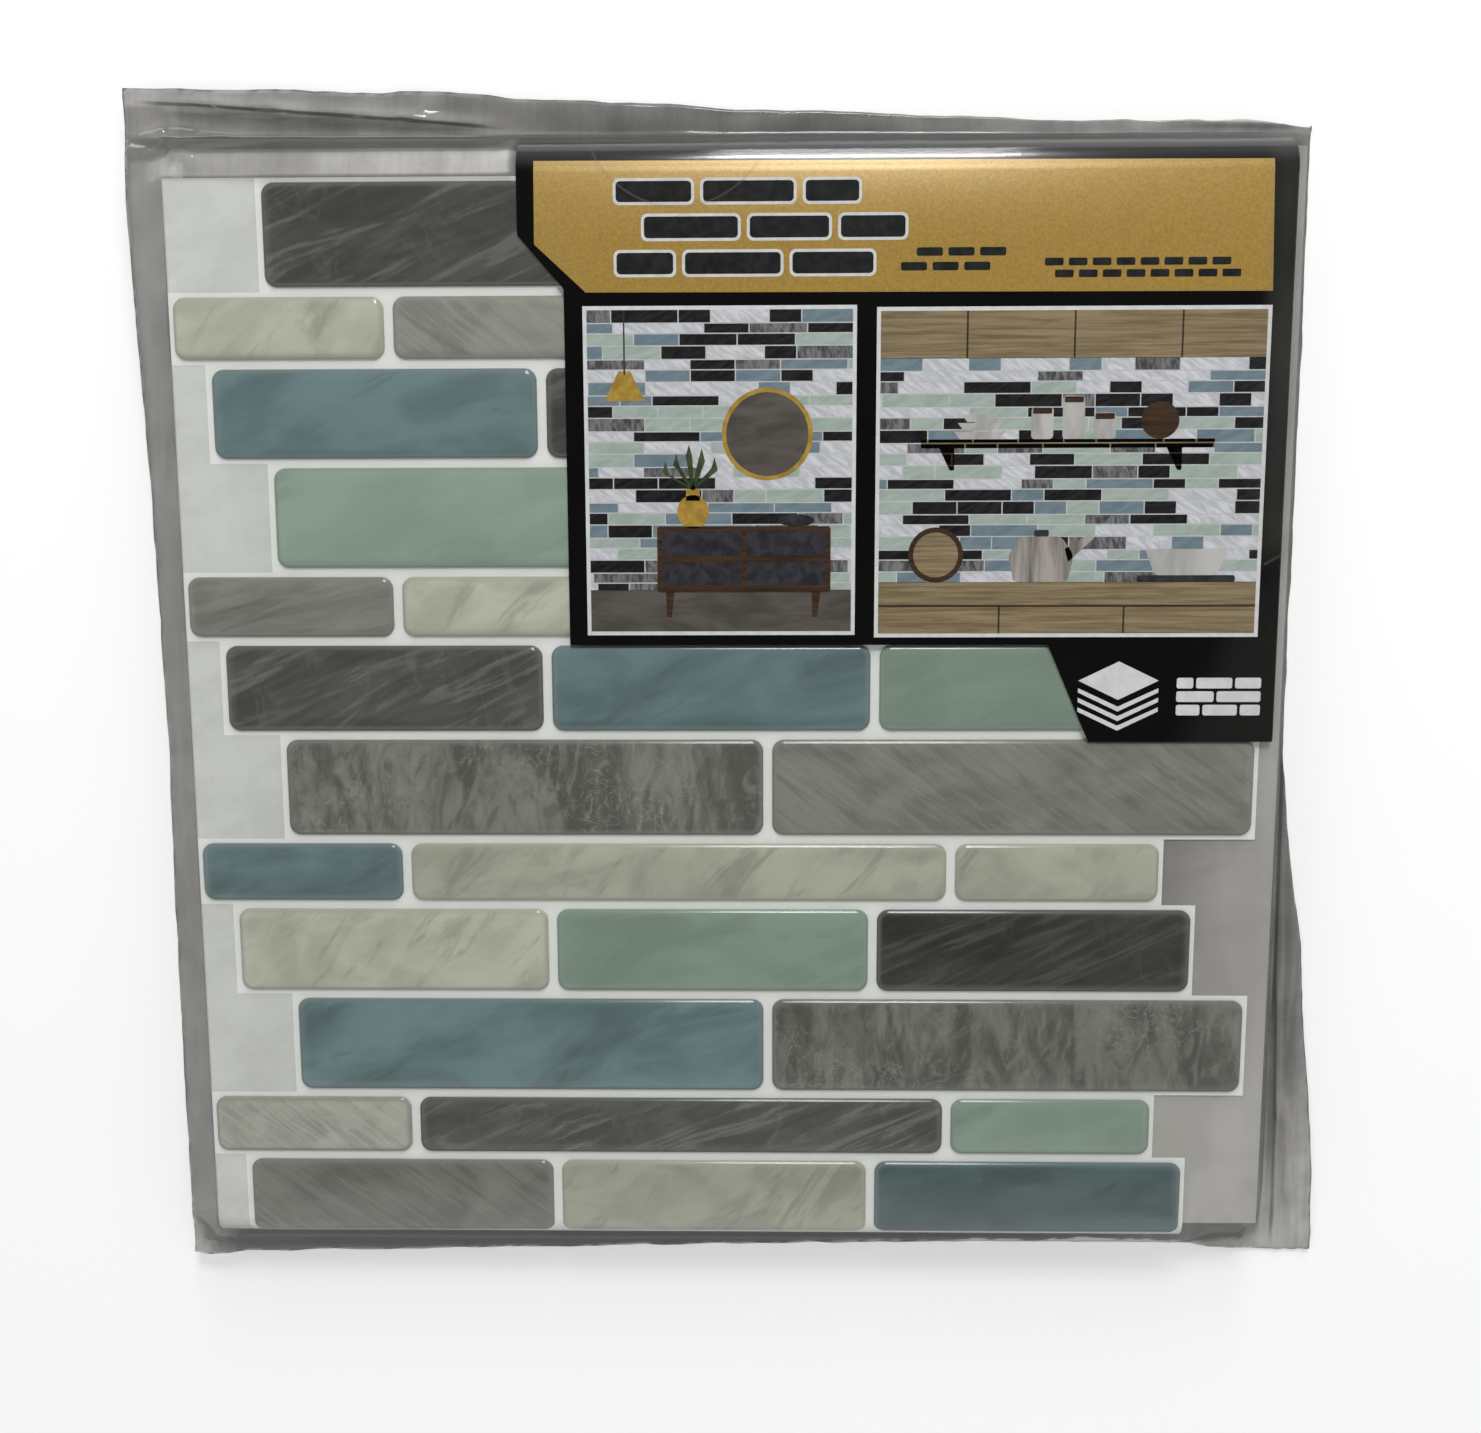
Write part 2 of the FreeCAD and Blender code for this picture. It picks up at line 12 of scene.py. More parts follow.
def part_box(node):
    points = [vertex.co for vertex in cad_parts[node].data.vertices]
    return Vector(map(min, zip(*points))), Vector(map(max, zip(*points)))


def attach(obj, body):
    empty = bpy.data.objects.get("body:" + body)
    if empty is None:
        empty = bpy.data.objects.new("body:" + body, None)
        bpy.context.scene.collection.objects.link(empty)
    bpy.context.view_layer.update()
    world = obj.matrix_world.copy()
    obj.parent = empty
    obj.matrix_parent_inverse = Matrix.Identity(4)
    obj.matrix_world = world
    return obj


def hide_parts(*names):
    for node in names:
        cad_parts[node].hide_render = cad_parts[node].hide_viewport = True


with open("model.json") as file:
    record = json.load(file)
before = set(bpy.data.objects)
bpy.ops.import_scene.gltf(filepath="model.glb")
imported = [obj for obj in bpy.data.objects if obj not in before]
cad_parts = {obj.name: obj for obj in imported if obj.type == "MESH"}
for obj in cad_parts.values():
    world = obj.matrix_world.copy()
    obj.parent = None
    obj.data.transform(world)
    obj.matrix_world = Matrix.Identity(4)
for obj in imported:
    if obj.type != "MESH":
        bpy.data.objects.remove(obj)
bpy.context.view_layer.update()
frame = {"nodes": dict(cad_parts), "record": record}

bl_info = {
    "name": "Tile sheet pack",
    "version": (1, 0, 0),
    "blender": (4, 5, 0),
    "location": "3D View > Sidebar > Tile pack",
    "description": "Gel tiles, packed sheets, header card and film sleeve of a pack of tile sheets",
    "category": "Object",
}

MM = 0.001
SHEETS = 10

# Every mesh is made in millimetres from the top sheet's lower left corner and the floor.
SHEET_HEIGHT = 304.8
BASE_WIDTH = 276.8
SHEET_THICKNESS = 1.95
COURSES = (("middle", 26.8, 9.7), ("short", 19.3, 0.0), ("tall", 30.1, 25.7)) * 4
CORNER_LOW, CORNER_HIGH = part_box("vinyl_backing")
TO_PACK = (
    Matrix.Translation((CORNER_LOW.x, CORNER_HIGH.y - SHEET_HEIGHT * MM, 0)) @ Matrix.Scale(MM, 4)
)
FROM_PACK = TO_PACK.inverted()

TILE_SLOTS = {
    part["node"]: part["material_slot"]
    for part in frame["record"]["subparts"]
    if part["node"].startswith("gel_tile_")
}
GEL_SLOTS = sorted(set(TILE_SLOTS.values()))


def box_in_mm(node):
    """A CAD node's box in millimetres of the top sheet: left, low, bottom, right, high, top."""
    low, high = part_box(node)
    return (*(FROM_PACK @ low), *(FROM_PACK @ high))


# The card's fold and the bend at the foot of the top sheet, as the CAD has them.
CARD_TOP = box_in_mm("header_card")[5]
CARD_FOLD = 305.0
CARD_FOLD_RADIUS = 10.0
CARD_THICKNESS = 0.4
CARD_FOOT = box_in_mm("header_card")[2]
BEND_LINE = 6.8
BEND_RADIUS = 5.0
BEND_ANGLE = math.radians(50)
BEND_MIDDLE = BEND_RADIUS + SHEET_THICKNESS / 2
TOP_LINER_FOOT = box_in_mm("vinyl_backing")[5] - 0.45
GEL_TOP = box_in_mm("gel_tile_01_a")[5]
TILE_BOXES = {node: box_in_mm(node) for node in TILE_SLOTS}
MIDDLE_COURSE = TILE_BOXES["gel_tile_03_a"][4] - TILE_BOXES["gel_tile_03_a"][1]


# Sizes and colours that a user may change.


class TileSettings(bpy.types.PropertyGroup):
    """Gel tiles and the layers of a sheet."""

    corner: bpy.props.FloatProperty(
        name="Tile corner", description="Radius of a gel tile's corners", default=0.0034, unit="LENGTH")
    gel_height: bpy.props.FloatProperty(
        name="Gel height", description="Height of the gel above the vinyl", default=0.0015, unit="LENGTH")
    liner: bpy.props.FloatProperty(
        name="Liner", description="Thickness of the release liner", default=0.00015, unit="LENGTH")
    vinyl: bpy.props.FloatProperty(
        name="Vinyl", description="Thickness of the vinyl backing", default=0.0003, unit="LENGTH")
    charcoal: bpy.props.FloatVectorProperty(
        name="Charcoal", description="Charcoal marble gel", subtype="COLOR", default=(0.076, 0.079, 0.072))
    cream: bpy.props.FloatVectorProperty(
        name="Cream", description="Cream marble gel", subtype="COLOR", default=(0.445, 0.453, 0.364))
    grey_beige: bpy.props.FloatVectorProperty(
        name="Grey beige", description="Grey beige marble gel", subtype="COLOR",
        default=(0.285, 0.293, 0.250))
    blue: bpy.props.FloatVectorProperty(
        name="Blue", description="Muted blue gel", subtype="COLOR", default=(0.139, 0.205, 0.209))
    green: bpy.props.FloatVectorProperty(
        name="Green", description="Muted green gel", subtype="COLOR", default=(0.243, 0.327, 0.262))
    grey: bpy.props.FloatVectorProperty(
        name="Grey", description="Veined grey gel", subtype="COLOR", default=(0.208, 0.216, 0.185))
    smoky: bpy.props.FloatVectorProperty(
        name="Smoky", description="Smoky grey gel", subtype="COLOR", default=(0.170, 0.177, 0.150))
    vinyl_colour: bpy.props.FloatVectorProperty(
        name="Vinyl", description="White vinyl between the tiles", subtype="COLOR",
        default=(0.64, 0.655, 0.622))
    liner_colour: bpy.props.FloatVectorProperty(
        name="Liner", description="Back of the release liner", subtype="COLOR", default=(0.36, 0.35, 0.325))


class CardSettings(bpy.types.PropertyGroup):
    """Header card and its print."""

    black: bpy.props.FloatVectorProperty(
        name="Card black", description="Black printed ground", subtype="COLOR",
        default=(0.0012, 0.0016, 0.0012))
    gold: bpy.props.FloatVectorProperty(
        name="Gold", description="Gold panel", subtype="COLOR", default=(0.425, 0.265, 0.055))
    print_layer: bpy.props.FloatProperty(
        name="Print layer", description="How far one print layer stands over the next", default=0.00003,
        unit="LENGTH")


class FilmSettings(bpy.types.PropertyGroup):
    """Clear film sleeve."""

    clearance: bpy.props.FloatProperty(
        name="Clearance", description="Gap between the film and what it lies on", default=0.00007,
        unit="LENGTH")
    wrinkle: bpy.props.FloatProperty(
        name="Wrinkle", description="Height of the film's wrinkles", default=0.00045, unit="LENGTH")
    roof_haze: bpy.props.FloatProperty(
        name="Roof haze", description="Share of light that the film over the tiles scatters", default=0.006,
        subtype="FACTOR")
    margin_haze: bpy.props.FloatProperty(
        name="Margin haze", description="Share that the lower film scatters round the stack", default=0.88,
        subtype="FACTOR")


class StageSettings(bpy.types.PropertyGroup):
    """Camera, floor and lamps."""

    key_power: bpy.props.FloatProperty(
        name="Key lamp", description="Power of the lamp beyond the top of the pack", default=8.4,
        unit="POWER")
    side_power: bpy.props.FloatProperty(
        name="Side lamps", description="Power of each lamp at the other sides", default=3.35, unit="POWER")
    sky: bpy.props.FloatProperty(
        name="Sky", description="Brightness of the sky near the horizon", default=0.46)
    floor: bpy.props.FloatVectorProperty(
        name="Floor", description="Colour of the floor", subtype="COLOR", default=(0.8, 0.8, 0.8))


SETTINGS = {"pack_tiles": TileSettings, "pack_card": CardSettings, "pack_film": FilmSettings,
            "pack_stage": StageSettings}


# Node helpers and materials.


def new_material(name):
    """An empty node material and its tree."""
    material = bpy.data.materials.new(name)
    material.use_nodes = True
    material.node_tree.nodes.clear()
    return material, material.node_tree


def add_node(tree, kind, inputs=(), **settings):
    """Add a node, set its settings, and link or set its inputs."""
    made = tree.nodes.new(kind)
    for name, value in settings.items():
        setattr(made, name, value)
    for key, value in dict(inputs).items():
        if isinstance(value, bpy.types.NodeSocket):
            tree.links.new(value, made.inputs[key])
        else:
            made.inputs[key].default_value = value
    return made


def colour4(colour):
    """A colour with full alpha, as the nodes take it."""
    return (*colour, 1.0)


def mix_colour(tree, factor, first, second, blend="MIX"):
    """The mix of two colours, each a socket or a plain colour."""
    values = {0: factor}
    for key, colour in ((6, first), (7, second)):
        values[key] = colour if isinstance(colour, bpy.types.NodeSocket) else colour4(colour)
    return add_node(tree, "ShaderNodeMix", values, data_type="RGBA", blend_type=blend).outputs[2]


def calculate(tree, operation, *values, clamp=False):
    """The result of a Math node."""
    inputs = enumerate(values)
    return add_node(tree, "ShaderNodeMath", inputs, operation=operation, use_clamp=clamp).outputs[0]


def remap(tree, value, low, high, to_low=0.0, to_high=1.0):
    """A value moved from one range to another, clamped and smoothed."""
    inputs = {"Value": value, "From Min": low, "From Max": high, "To Min": to_low, "To Max": to_high}
    return add_node(tree, "ShaderNodeMapRange", inputs, interpolation_type="SMOOTHSTEP").outputs["Result"]


def laid_place(tree, size=(1, 1, 1), turn=0.0, origin=(0, 0, 0)):
    """Object coordinates seen from an origin in metres, turned about Z, in units of a size in metres."""
    coordinates = add_node(tree, "ShaderNodeTexCoord").outputs["Object"]
    inputs = {"Vector": coordinates, "Location": origin, "Rotation": (0, 0, turn), "Scale": size}
    return add_node(tree, "ShaderNodeMapping", inputs, vector_type="TEXTURE").outputs["Vector"]


def in_mm(*size):
    """A size in millimetres as metres."""
    return tuple(length * MM for length in size)


def noise_at(tree, place, scale, detail=4.0, rough=0.55, twist=0.0):
    """The value of a noise texture."""
    inputs = {"Vector": place, "Scale": scale, "Detail": detail, "Roughness": rough, "Distortion": twist}
    return add_node(tree, "ShaderNodeTexNoise", inputs).outputs[0]


def bumped(tree, height, strength, distance):
    """The normal of a bump."""
    inputs = {"Height": height, "Strength": strength, "Distance": distance}
    return add_node(tree, "ShaderNodeBump", inputs).outputs["Normal"]


def attribute(tree, name):
    """A number that the piece's mesh holds at each vertex."""
    return add_node(tree, "ShaderNodeAttribute", attribute_name=name).outputs["Fac"]


def show(tree, shader):
    """Send a shader to the material's output."""
    add_node(tree, "ShaderNodeOutputMaterial", {"Surface": shader})


def surface(tree, colour, roughness, normal=None, **inputs):
    """A Principled shader sent to the output."""
    values = {"Base Color": colour, "Roughness": roughness}
    values.update({key.replace("_", " "): value for key, value in inputs.items()})
    if normal is not None:
        values["Normal"] = normal
    show(tree, add_node(tree, "ShaderNodeBsdfPrincipled", values).outputs[0])


def ridges(tree, place, width, twist):
    """Thin winding lines where a noise crosses its middle value, 1 on the line."""
    value = noise_at(tree, place, 1.0, 5.0, 0.5, twist)
    away = calculate(tree, "ABSOLUTE", calculate(tree, "SUBTRACT", value, 0.5))
    return remap(tree, away, width, 0.0)


def scaled(colour, factor):
    """A colour made paler or darker."""
    return [min(1.0, channel * factor) for channel in colour]


# How each gel is marbled, sizes in millimetres:
# flow: length, breadth, turn in degrees and twist of its streaks, and their pale and dark shares;
# patch: breadth, height and contrast of its clouds;
# vein: length, breadth, turn, line width and share of its thin pale veins; pale: how much paler they are.
GEL_LOOKS = {
    "charcoal": {"flow": (44, 6, 24, 1.6, 0.55, 0.45), "patch": (34, 16, 0.16),
                 "vein": (16, 40, 14, 0.040, 0.13), "pale": 2.2},
    "cream": {"flow": (34, 9, 52, 0.8, 0.32, 0.60), "patch": (26, 15, 0.11),
              "vein": (40, 9, 50, 0.05, 0.0), "pale": 1.2},
    "grey_beige": {"flow": (26, 2.2, -38, 0.8, 0.46, 0.40), "patch": (24, 18, 0.13),
                   "vein": (30, 6, -38, 0.03, 0.15), "pale": 1.3},
    "blue": {"flow": (60, 22, 24, 0.9, 0.42, 0.62), "patch": (44, 19, 0.16),
             "vein": (40, 9, 40, 0.05, 0.0), "pale": 1.28},
    "green": {"flow": (46, 16, 24, 0.9, 0.24, 0.28), "patch": (36, 18, 0.06),
              "vein": (40, 9, 40, 0.05, 0.0), "pale": 1.14},
    "grey": {"flow": (30, 2.6, -36, 0.8, 0.42, 0.42), "patch": (46, 24, 0.18),
             "vein": (46, 5, -36, 0.03, 0.18), "pale": 1.4},
    "smoky": {"flow": (20, 8, 80, 2.4, 0.48, 0.55), "patch": (13, 46, 0.34),
              "vein": (5, 7, 60, 0.026, 0.50), "pale": 1.7},
}


# The one tile whose streaks rise to the right, where those of its kind fall.
RISING_TILE = "gel_tile_05_a"
RISING_LOOK = dict(GEL_LOOKS["grey"], flow=(38, 3.4, 14, 0.8, 0.36, 0.5), vein=(46, 5, 14, 0.03, 0.12))


def gel_material(name, colour, flow, patch, vein, pale):
    """Glossy marbled gel, its rim greyed by painted shade where the dome falls to the vinyl, its low wall
    paled by painted light.
    """
    material, tree = new_material(f"gel_{name}_marble")
    length, breadth, turn, twist, pale_share, dark_share = flow
    run = laid_place(tree, in_mm(length, breadth, 20), math.radians(turn))
    streak = noise_at(tree, run, 1.0, 7.0, 0.62, twist)
    cloud = noise_at(tree, laid_place(tree, in_mm(patch[0], patch[1], 20), 0.2), 1.0, 4.0, 0.55, 0.6)
    ground = mix_colour(tree, remap(tree, cloud, 0.38, 0.62), scaled(colour, 1 - patch[2]),
                        scaled(colour, 1 + patch[2]))
    ground = mix_colour(tree, remap(tree, streak, 0.49, 0.64, 0.0, pale_share), ground, scaled(colour, pale))
    ground = mix_colour(tree, remap(tree, streak, 0.48, 0.35, 0.0, dark_share), ground, scaled(colour, 0.62))
    if vein[4]:
        run = laid_place(tree, in_mm(vein[0], vein[1], 20), math.radians(vein[2]))
        lines = ridges(tree, run, vein[3], 1.4)
        where = noise_at(tree, laid_place(tree, in_mm(26, 20, 20)), 1.0, 2.0)
        share = calculate(tree, "MULTIPLY", lines, remap(tree, where, 0.44, 0.62, 0.0, vein[4]))
        ground = mix_colour(tree, share, ground, scaled(colour, pale * 1.25))
    # Each tile's own tone, with painted shade on some tiles.
    ground = add_node(tree, "ShaderNodeVectorMath", {0: ground, "Scale": attribute(tree, "tone")},
                      operation="SCALE").outputs[0]
    rise = attribute(tree, "rise")
    # Painted shade: the dome's falling rim is greyed towards a mid grey.
    rim_painted_shading = [0.70 * channel + 0.30 * grey for channel, grey in zip(colour, (0.20, 0.20, 0.185))]
    ground = mix_colour(tree, remap(tree, rise, 0.66, 0.99, 0.75, 0.0), ground, rim_painted_shading)
    # Painted light: the low wall at the tile's foot is paled, so its outline reads less dark.
    ground = mix_colour(tree, remap(tree, rise, 0.34, 0.14, 0.0, 0.45), ground, (0.55, 0.56, 0.53))
    swell = noise_at(tree, laid_place(tree, in_mm(17, 17, 17)), 1.0, 2.0)
    surface(tree, ground, 0.17, bumped(tree, swell, 0.2, 0.0004), Specular_IOR_Level=0.45)
    return material


def vinyl_material(colour):
    """Satin white vinyl, greyer on the bare ends of its courses and painted paler between the tiles, painted
    light against the grooves' shade.
    """
    material, tree = new_material("satin_vinyl")
    mottle = noise_at(tree, laid_place(tree, in_mm(22, 12, 20), 0.3), 1.0, 7.0, 0.72)
    grain = noise_at(tree, laid_place(tree, in_mm(0.7, 0.7, 0.7)), 1.0, 2.0)
    place = laid_place(tree, origin=TO_PACK.translation)
    across, along_sheet, _up = add_node(tree, "ShaderNodeSeparateXYZ", {0: place}).outputs
    period = sum(course[1] for course in COURSES[:3]) * MM
    course = calculate(tree, "MODULO", along_sheet, period)
    middle = calculate(tree, "LESS_THAN", course, COURSES[0][1] * MM)
    tall = calculate(tree, "GREATER_THAN", course, period - COURSES[2][1] * MM)
    bare = calculate(tree, "MULTIPLY", middle, (TILE_BOXES["gel_tile_03_a"][0] - 1.7) * MM)
    bare = calculate(tree, "MULTIPLY_ADD", tall, (TILE_BOXES["gel_tile_01_a"][0] - 1.7) * MM, bare)
    bare = calculate(tree, "LESS_THAN", across, bare)
    # Painted light: paler between the tiles, against the shade of the narrow grooves.
    ground = mix_colour(tree, remap(tree, mottle, 0.35, 0.65), scaled(colour, 1.26), scaled(colour, 1.32))
    greyer = mix_colour(tree, remap(tree, mottle, 0.35, 0.62), scaled(colour, 0.92), scaled(colour, 1.02))
    ground = mix_colour(tree, bare, ground, greyer)
    surface(tree, ground, 0.5, bumped(tree, grain, 0.12, 0.00005))
    return material


def liner_material(colour):
    """Warm grey release paper with soft cloudy patches and pale rubs, painted shadow beside the top sheet's
    steps, paler towards its foot.
    """
    material, tree = new_material("release_paper")
    patches = noise_at(tree, laid_place(tree, in_mm(60, 26, 40), 0.3), 1.0, 4.0, 0.55, 0.4)
    rubs = noise_at(tree, laid_place(tree, in_mm(4, 70, 25), 0.1), 1.0, 4.0, 0.6)
    place = laid_place(tree, in_mm(1, 1, 1), origin=TO_PACK.translation)
    across, along_sheet, _up = add_node(tree, "ShaderNodeSeparateXYZ", {0: place}).outputs
    # Painted shadow beside the top sheet's steps, darkest at the left of the notches.
    dark = calculate(tree, "MULTIPLY", remap(tree, across, 296.0, 274.0),
                     remap(tree, along_sheet, 60.0, 118.0))
    ground = mix_colour(tree, remap(tree, patches, 0.35, 0.66), scaled(colour, 0.88), scaled(colour, 1.08))
    ground = mix_colour(tree, remap(tree, rubs, 0.5, 0.7, 0.0, 0.25), ground, scaled(colour, 1.2))
    ground = mix_colour(tree, calculate(tree, "MULTIPLY", dark, 0.6), ground, scaled(colour, 0.45))
    foot = remap(tree, along_sheet, 66.0, 40.0, 0.0, 0.85)
    ground = mix_colour(tree, foot, ground, scaled(colour, 1.26))
    surface(tree, ground, 0.55, bumped(tree, patches, 0.1, 0.0002))
    return material


def card_material(colour):
    """Black gloss board, with faint rubs in its varnish."""
    material, tree = new_material("gloss_black_card")
    scuffs = noise_at(tree, laid_place(tree, in_mm(30, 3, 20), 0.6), 1.0, 6.0, 0.7, 0.6)
    rubbed = [channel + 0.002 for channel in colour]
    ground = mix_colour(tree, remap(tree, scuffs, 0.55, 0.8), colour, rubbed)
    surface(tree, ground, 0.15, bumped(tree, scuffs, 0.08, 0.0001), Specular_IOR_Level=0.7)
    return material


def board_material():
    """The raw board at the card's edges and back."""
    material, tree = new_material("card_board")
    fibres = noise_at(tree, laid_place(tree, in_mm(1.1, 1.1, 1.1)), 1.0, 3.0)
    ground = mix_colour(tree, fibres, (0.34, 0.34, 0.33), (0.48, 0.48, 0.46))
    surface(tree, ground, 0.7, bumped(tree, fibres, 0.2, 0.00005))
    return material


def near_fold(tree):
    """Height in metres that rounds the card gently towards its fold, from 18 mm before it."""
    place = laid_place(tree, origin=TO_PACK.translation)
    _across, along_sheet, _up = add_node(tree, "ShaderNodeSeparateXYZ", {0: place}).outputs
    past = calculate(tree, "MAXIMUM", calculate(tree, "SUBTRACT", along_sheet, 0.287), 0.0)
    past = calculate(tree, "MINIMUM", past, 0.02)
    return calculate(tree, "MULTIPLY", calculate(tree, "MULTIPLY", past, past), -3.6)


def gold_material(colour):
    """Satin gold print with a fine sparkle."""
    material, tree = new_material("gold_foil")
    sparkle = noise_at(tree, laid_place(tree, in_mm(0.6, 0.6, 0.6)), 1.0, 2.0)
    clouds = noise_at(tree, laid_place(tree, in_mm(30, 22, 20)), 1.0, 3.0)
    ground = mix_colour(tree, remap(tree, sparkle, 0.3, 0.7), scaled(colour, 0.84), scaled(colour, 1.12))
    ground = mix_colour(tree, remap(tree, clouds, 0.3, 0.7, 0.0, 0.14), ground, (0.45, 0.32, 0.11))
    height = calculate(tree, "MULTIPLY_ADD", sparkle, 0.000006, near_fold(tree))
    surface(tree, ground, 0.32, bumped(tree, height, 1.0, 1.0), Metallic=0.12, Specular_IOR_Level=0.55)
    return material


def ink_material(name, dark, pale, size=(3.3, 3.3, 3.3), turn=0.0):
    """A printed colour with a little unevenness."""
    material, tree = new_material(name)
    spread = noise_at(tree, laid_place(tree, in_mm(*size), turn), 1.0, 4.0, 0.6, 0.5)
    ground = mix_colour(tree, remap(tree, spread, 0.35, 0.65), dark, pale)
    surface(tree, ground, 0.3, bumped(tree, spread, 0.03, 0.00005), Specular_IOR_Level=0.4)
    return material


def wood_material(name, dark, pale):
    """A printed picture of wood grain that runs across."""
    material, tree = new_material(name)
    grain = noise_at(tree, laid_place(tree, in_mm(25, 1.1, 5)), 1.0, 6.0, 0.65, 0.5)
    ground = mix_colour(tree, remap(tree, grain, 0.3, 0.7), dark, pale)
    surface(tree, ground, 0.3, Specular_IOR_Level=0.4)
    return material


def on_pack(x, y):
    """A point of the top sheet in millimetres as a place on the pack, without its height."""
    place = TO_PACK @ Vector((x, y, 0))
    return Vector((place.x, place.y, 0))


def stroke(tree, start, end, width):
    """1 on a straight line between two points of the top sheet in millimetres, and 0 a width away."""
    low = on_pack(*start)
    run = on_pack(*end) - low
    place = laid_place(tree, turn=math.atan2(run.y, run.x), origin=low)
    forward, aside, _up = add_node(tree, "ShaderNodeSeparateXYZ", {0: place}).outputs
    near = remap(tree, calculate(tree, "ABSOLUTE", aside), width * MM, width * 0.2 * MM)
    ends = calculate(tree, "MULTIPLY", remap(tree, forward, 0.0, run.length * 0.12),
                     remap(tree, forward, run.length, run.length * 0.88))
    return calculate(tree, "MULTIPLY", near, ends)


def half_moon(tree):
    """1 on the line pressed into the film in front of the card's fold."""
    place = laid_place(tree, origin=on_pack(140.0, 321.6))
    flat = add_node(tree, "ShaderNodeVectorMath", {0: place, 1: (1, 1, 0)}, operation="MULTIPLY").outputs[0]
    reach = add_node(tree, "ShaderNodeVectorMath", {0: flat}, operation="LENGTH").outputs["Value"]
    off = calculate(tree, "ABSOLUTE", calculate(tree, "SUBTRACT", reach, 25.5 * MM))
    return remap(tree, off, 0.45 * MM, 0.1 * MM)


# Lines in the film: start, end, width in millimetres and strength.
# The pale lines are painted highlights along the film's creases and its seal.
PAINTED_HIGHLIGHT_STROKES = (((-15.2, 318.7), (93.0, 318.5), 0.5, 0.5), ((-11.6, 319.3), (-3.8, 321.7), 0.5, 0.6),
                ((-3.8, 321.7), (4.6, 320.9), 0.5, 0.6), ((4.6, 320.9), (19.0, 319.6), 0.5, 0.45),
                ((-13.0, 114.4), (-2.0, 118.7), 0.4, 0.45), ((-11.6, 107.8), (-5.0, 104.0), 0.4, 0.35),
                ((319.8, 50.0), (324.8, 76.0), 1.6, 0.25), ((47.0, 322.0), (60.0, 331.0), 1.6, 0.27),
                ((18.0, 322.0), (6.0, 330.0), 0.6, 0.3), ((300.3, 199.8), (308.3, 204.7), 0.6, 0.2),
                ((97.0, 318.9), (78.0, 325.0), 0.7, 0.3))
# The dark lines are painted shade along the film's folds.
PAINTED_FOLD_SHADE_STROKES = (((-14.6, 328.7), (93.0, 321.2), 0.7, 0.75), ((315.4, 150.0), (316.6, 60.0), 1.0, 0.7),
                ((316.6, 75.0), (318.9, -10.8), 0.9, 0.6), ((-15.0, 317.5), (93.0, 317.3), 1.2, 0.4))


def strokes(tree, lines, level):
    """The strongest of a level and a set of lines."""
    for start, end, width, strength in lines:
        line = calculate(tree, "MULTIPLY", stroke(tree, start, end, width), strength)
        level = calculate(tree, "MAXIMUM", level, line)
    return level


def film_material():
    """Clear film: see-through, with its reflections, hazy grey where the mesh says so, and lines of painted
    highlight and shade.
    """
    material, tree = new_material("clear_packing_film")
    streaks = noise_at(tree, laid_place(tree, in_mm(1.9, 40, 16)), 1.0, 5.0, 0.6)
    blotches = noise_at(tree, laid_place(tree, in_mm(17, 17, 17)), 1.0, 4.0, 0.6)
    varied = calculate(tree, "MULTIPLY", remap(tree, streaks, 0.3, 0.7, 0.94, 1.06),
                       remap(tree, blotches, 0.3, 0.7, 0.82, 1.18))
    # Pale: painted highlights on creases and the seal, with the pale pressed half-moon line. Dark: painted
    # shade in folds.
    pale = strokes(tree, PAINTED_HIGHLIGHT_STROKES, calculate(tree, "MULTIPLY", half_moon(tree), 0.16))
    dark = strokes(tree, PAINTED_FOLD_SHADE_STROKES, 0.0)
    shade = calculate(tree, "MULTIPLY", attribute(tree, "shade"), varied)
    shade = calculate(tree, "MULTIPLY", shade, calculate(tree, "SUBTRACT", 1.0, dark))
    shade = calculate(tree, "MAXIMUM", shade, pale, clamp=True)
    body = mix_colour(tree, shade, (0.02, 0.0193, 0.0175), (0.86, 0.845, 0.80))
    hazy = add_node(tree, "ShaderNodeBsdfDiffuse", {"Color": body}).outputs[0]
    clear = add_node(tree, "ShaderNodeBsdfTransparent").outputs[0]
    haze = calculate(tree, "MAXIMUM", attribute(tree, "haze"), pale)
    film = add_node(tree, "ShaderNodeMixShader", {0: haze, 1: clear, 2: hazy}).outputs[0]
    shine = add_node(tree, "ShaderNodeBsdfGlossy", {"Roughness": 0.1}).outputs[0]
    show(tree, add_node(tree, "ShaderNodeMixShader", {0: 0.045, 1: film, 2: shine}).outputs[0])
    return material


# Pieces and their meshes.


def new_piece(shape, name, materials, replaced=()):
    """Turn a bmesh in millimetres into a piece that rides on the pack's one body."""
    bmesh.ops.transform(shape, matrix=TO_PACK, verts=shape.verts)
    mesh = bpy.data.meshes.new(name)
    shape.to_mesh(mesh)
    shape.free()
    for material in materials:
        mesh.materials.append(material)
    piece = bpy.data.objects.new(name, mesh)
    bpy.context.scene.collection.objects.link(piece)
    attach(piece, "root")
    if replaced:
        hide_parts(*replaced)
    return piece


def shade_smooth(piece, angle=35):
    """Smooth shading with sharp edges past an angle in degrees."""
    piece.data.shade_smooth()
    piece.data.set_sharp_from_angle(angle=math.radians(angle))


# How far in and how high each ring of a gel tile's dome lies: millimetres, and shares of its height.
DOME = ((0.0, 0.16), (0.10, 0.32), (0.28, 0.48), (0.55, 0.63), (0.95, 0.78), (1.45, 0.89), (2.1, 0.96),
        (2.7, 0.99), (3.1, 1.0))
PLAIN_DOME = ((0.0, 0.34), (0.22, 0.68), (0.8, 0.92), (1.9, 1.0))
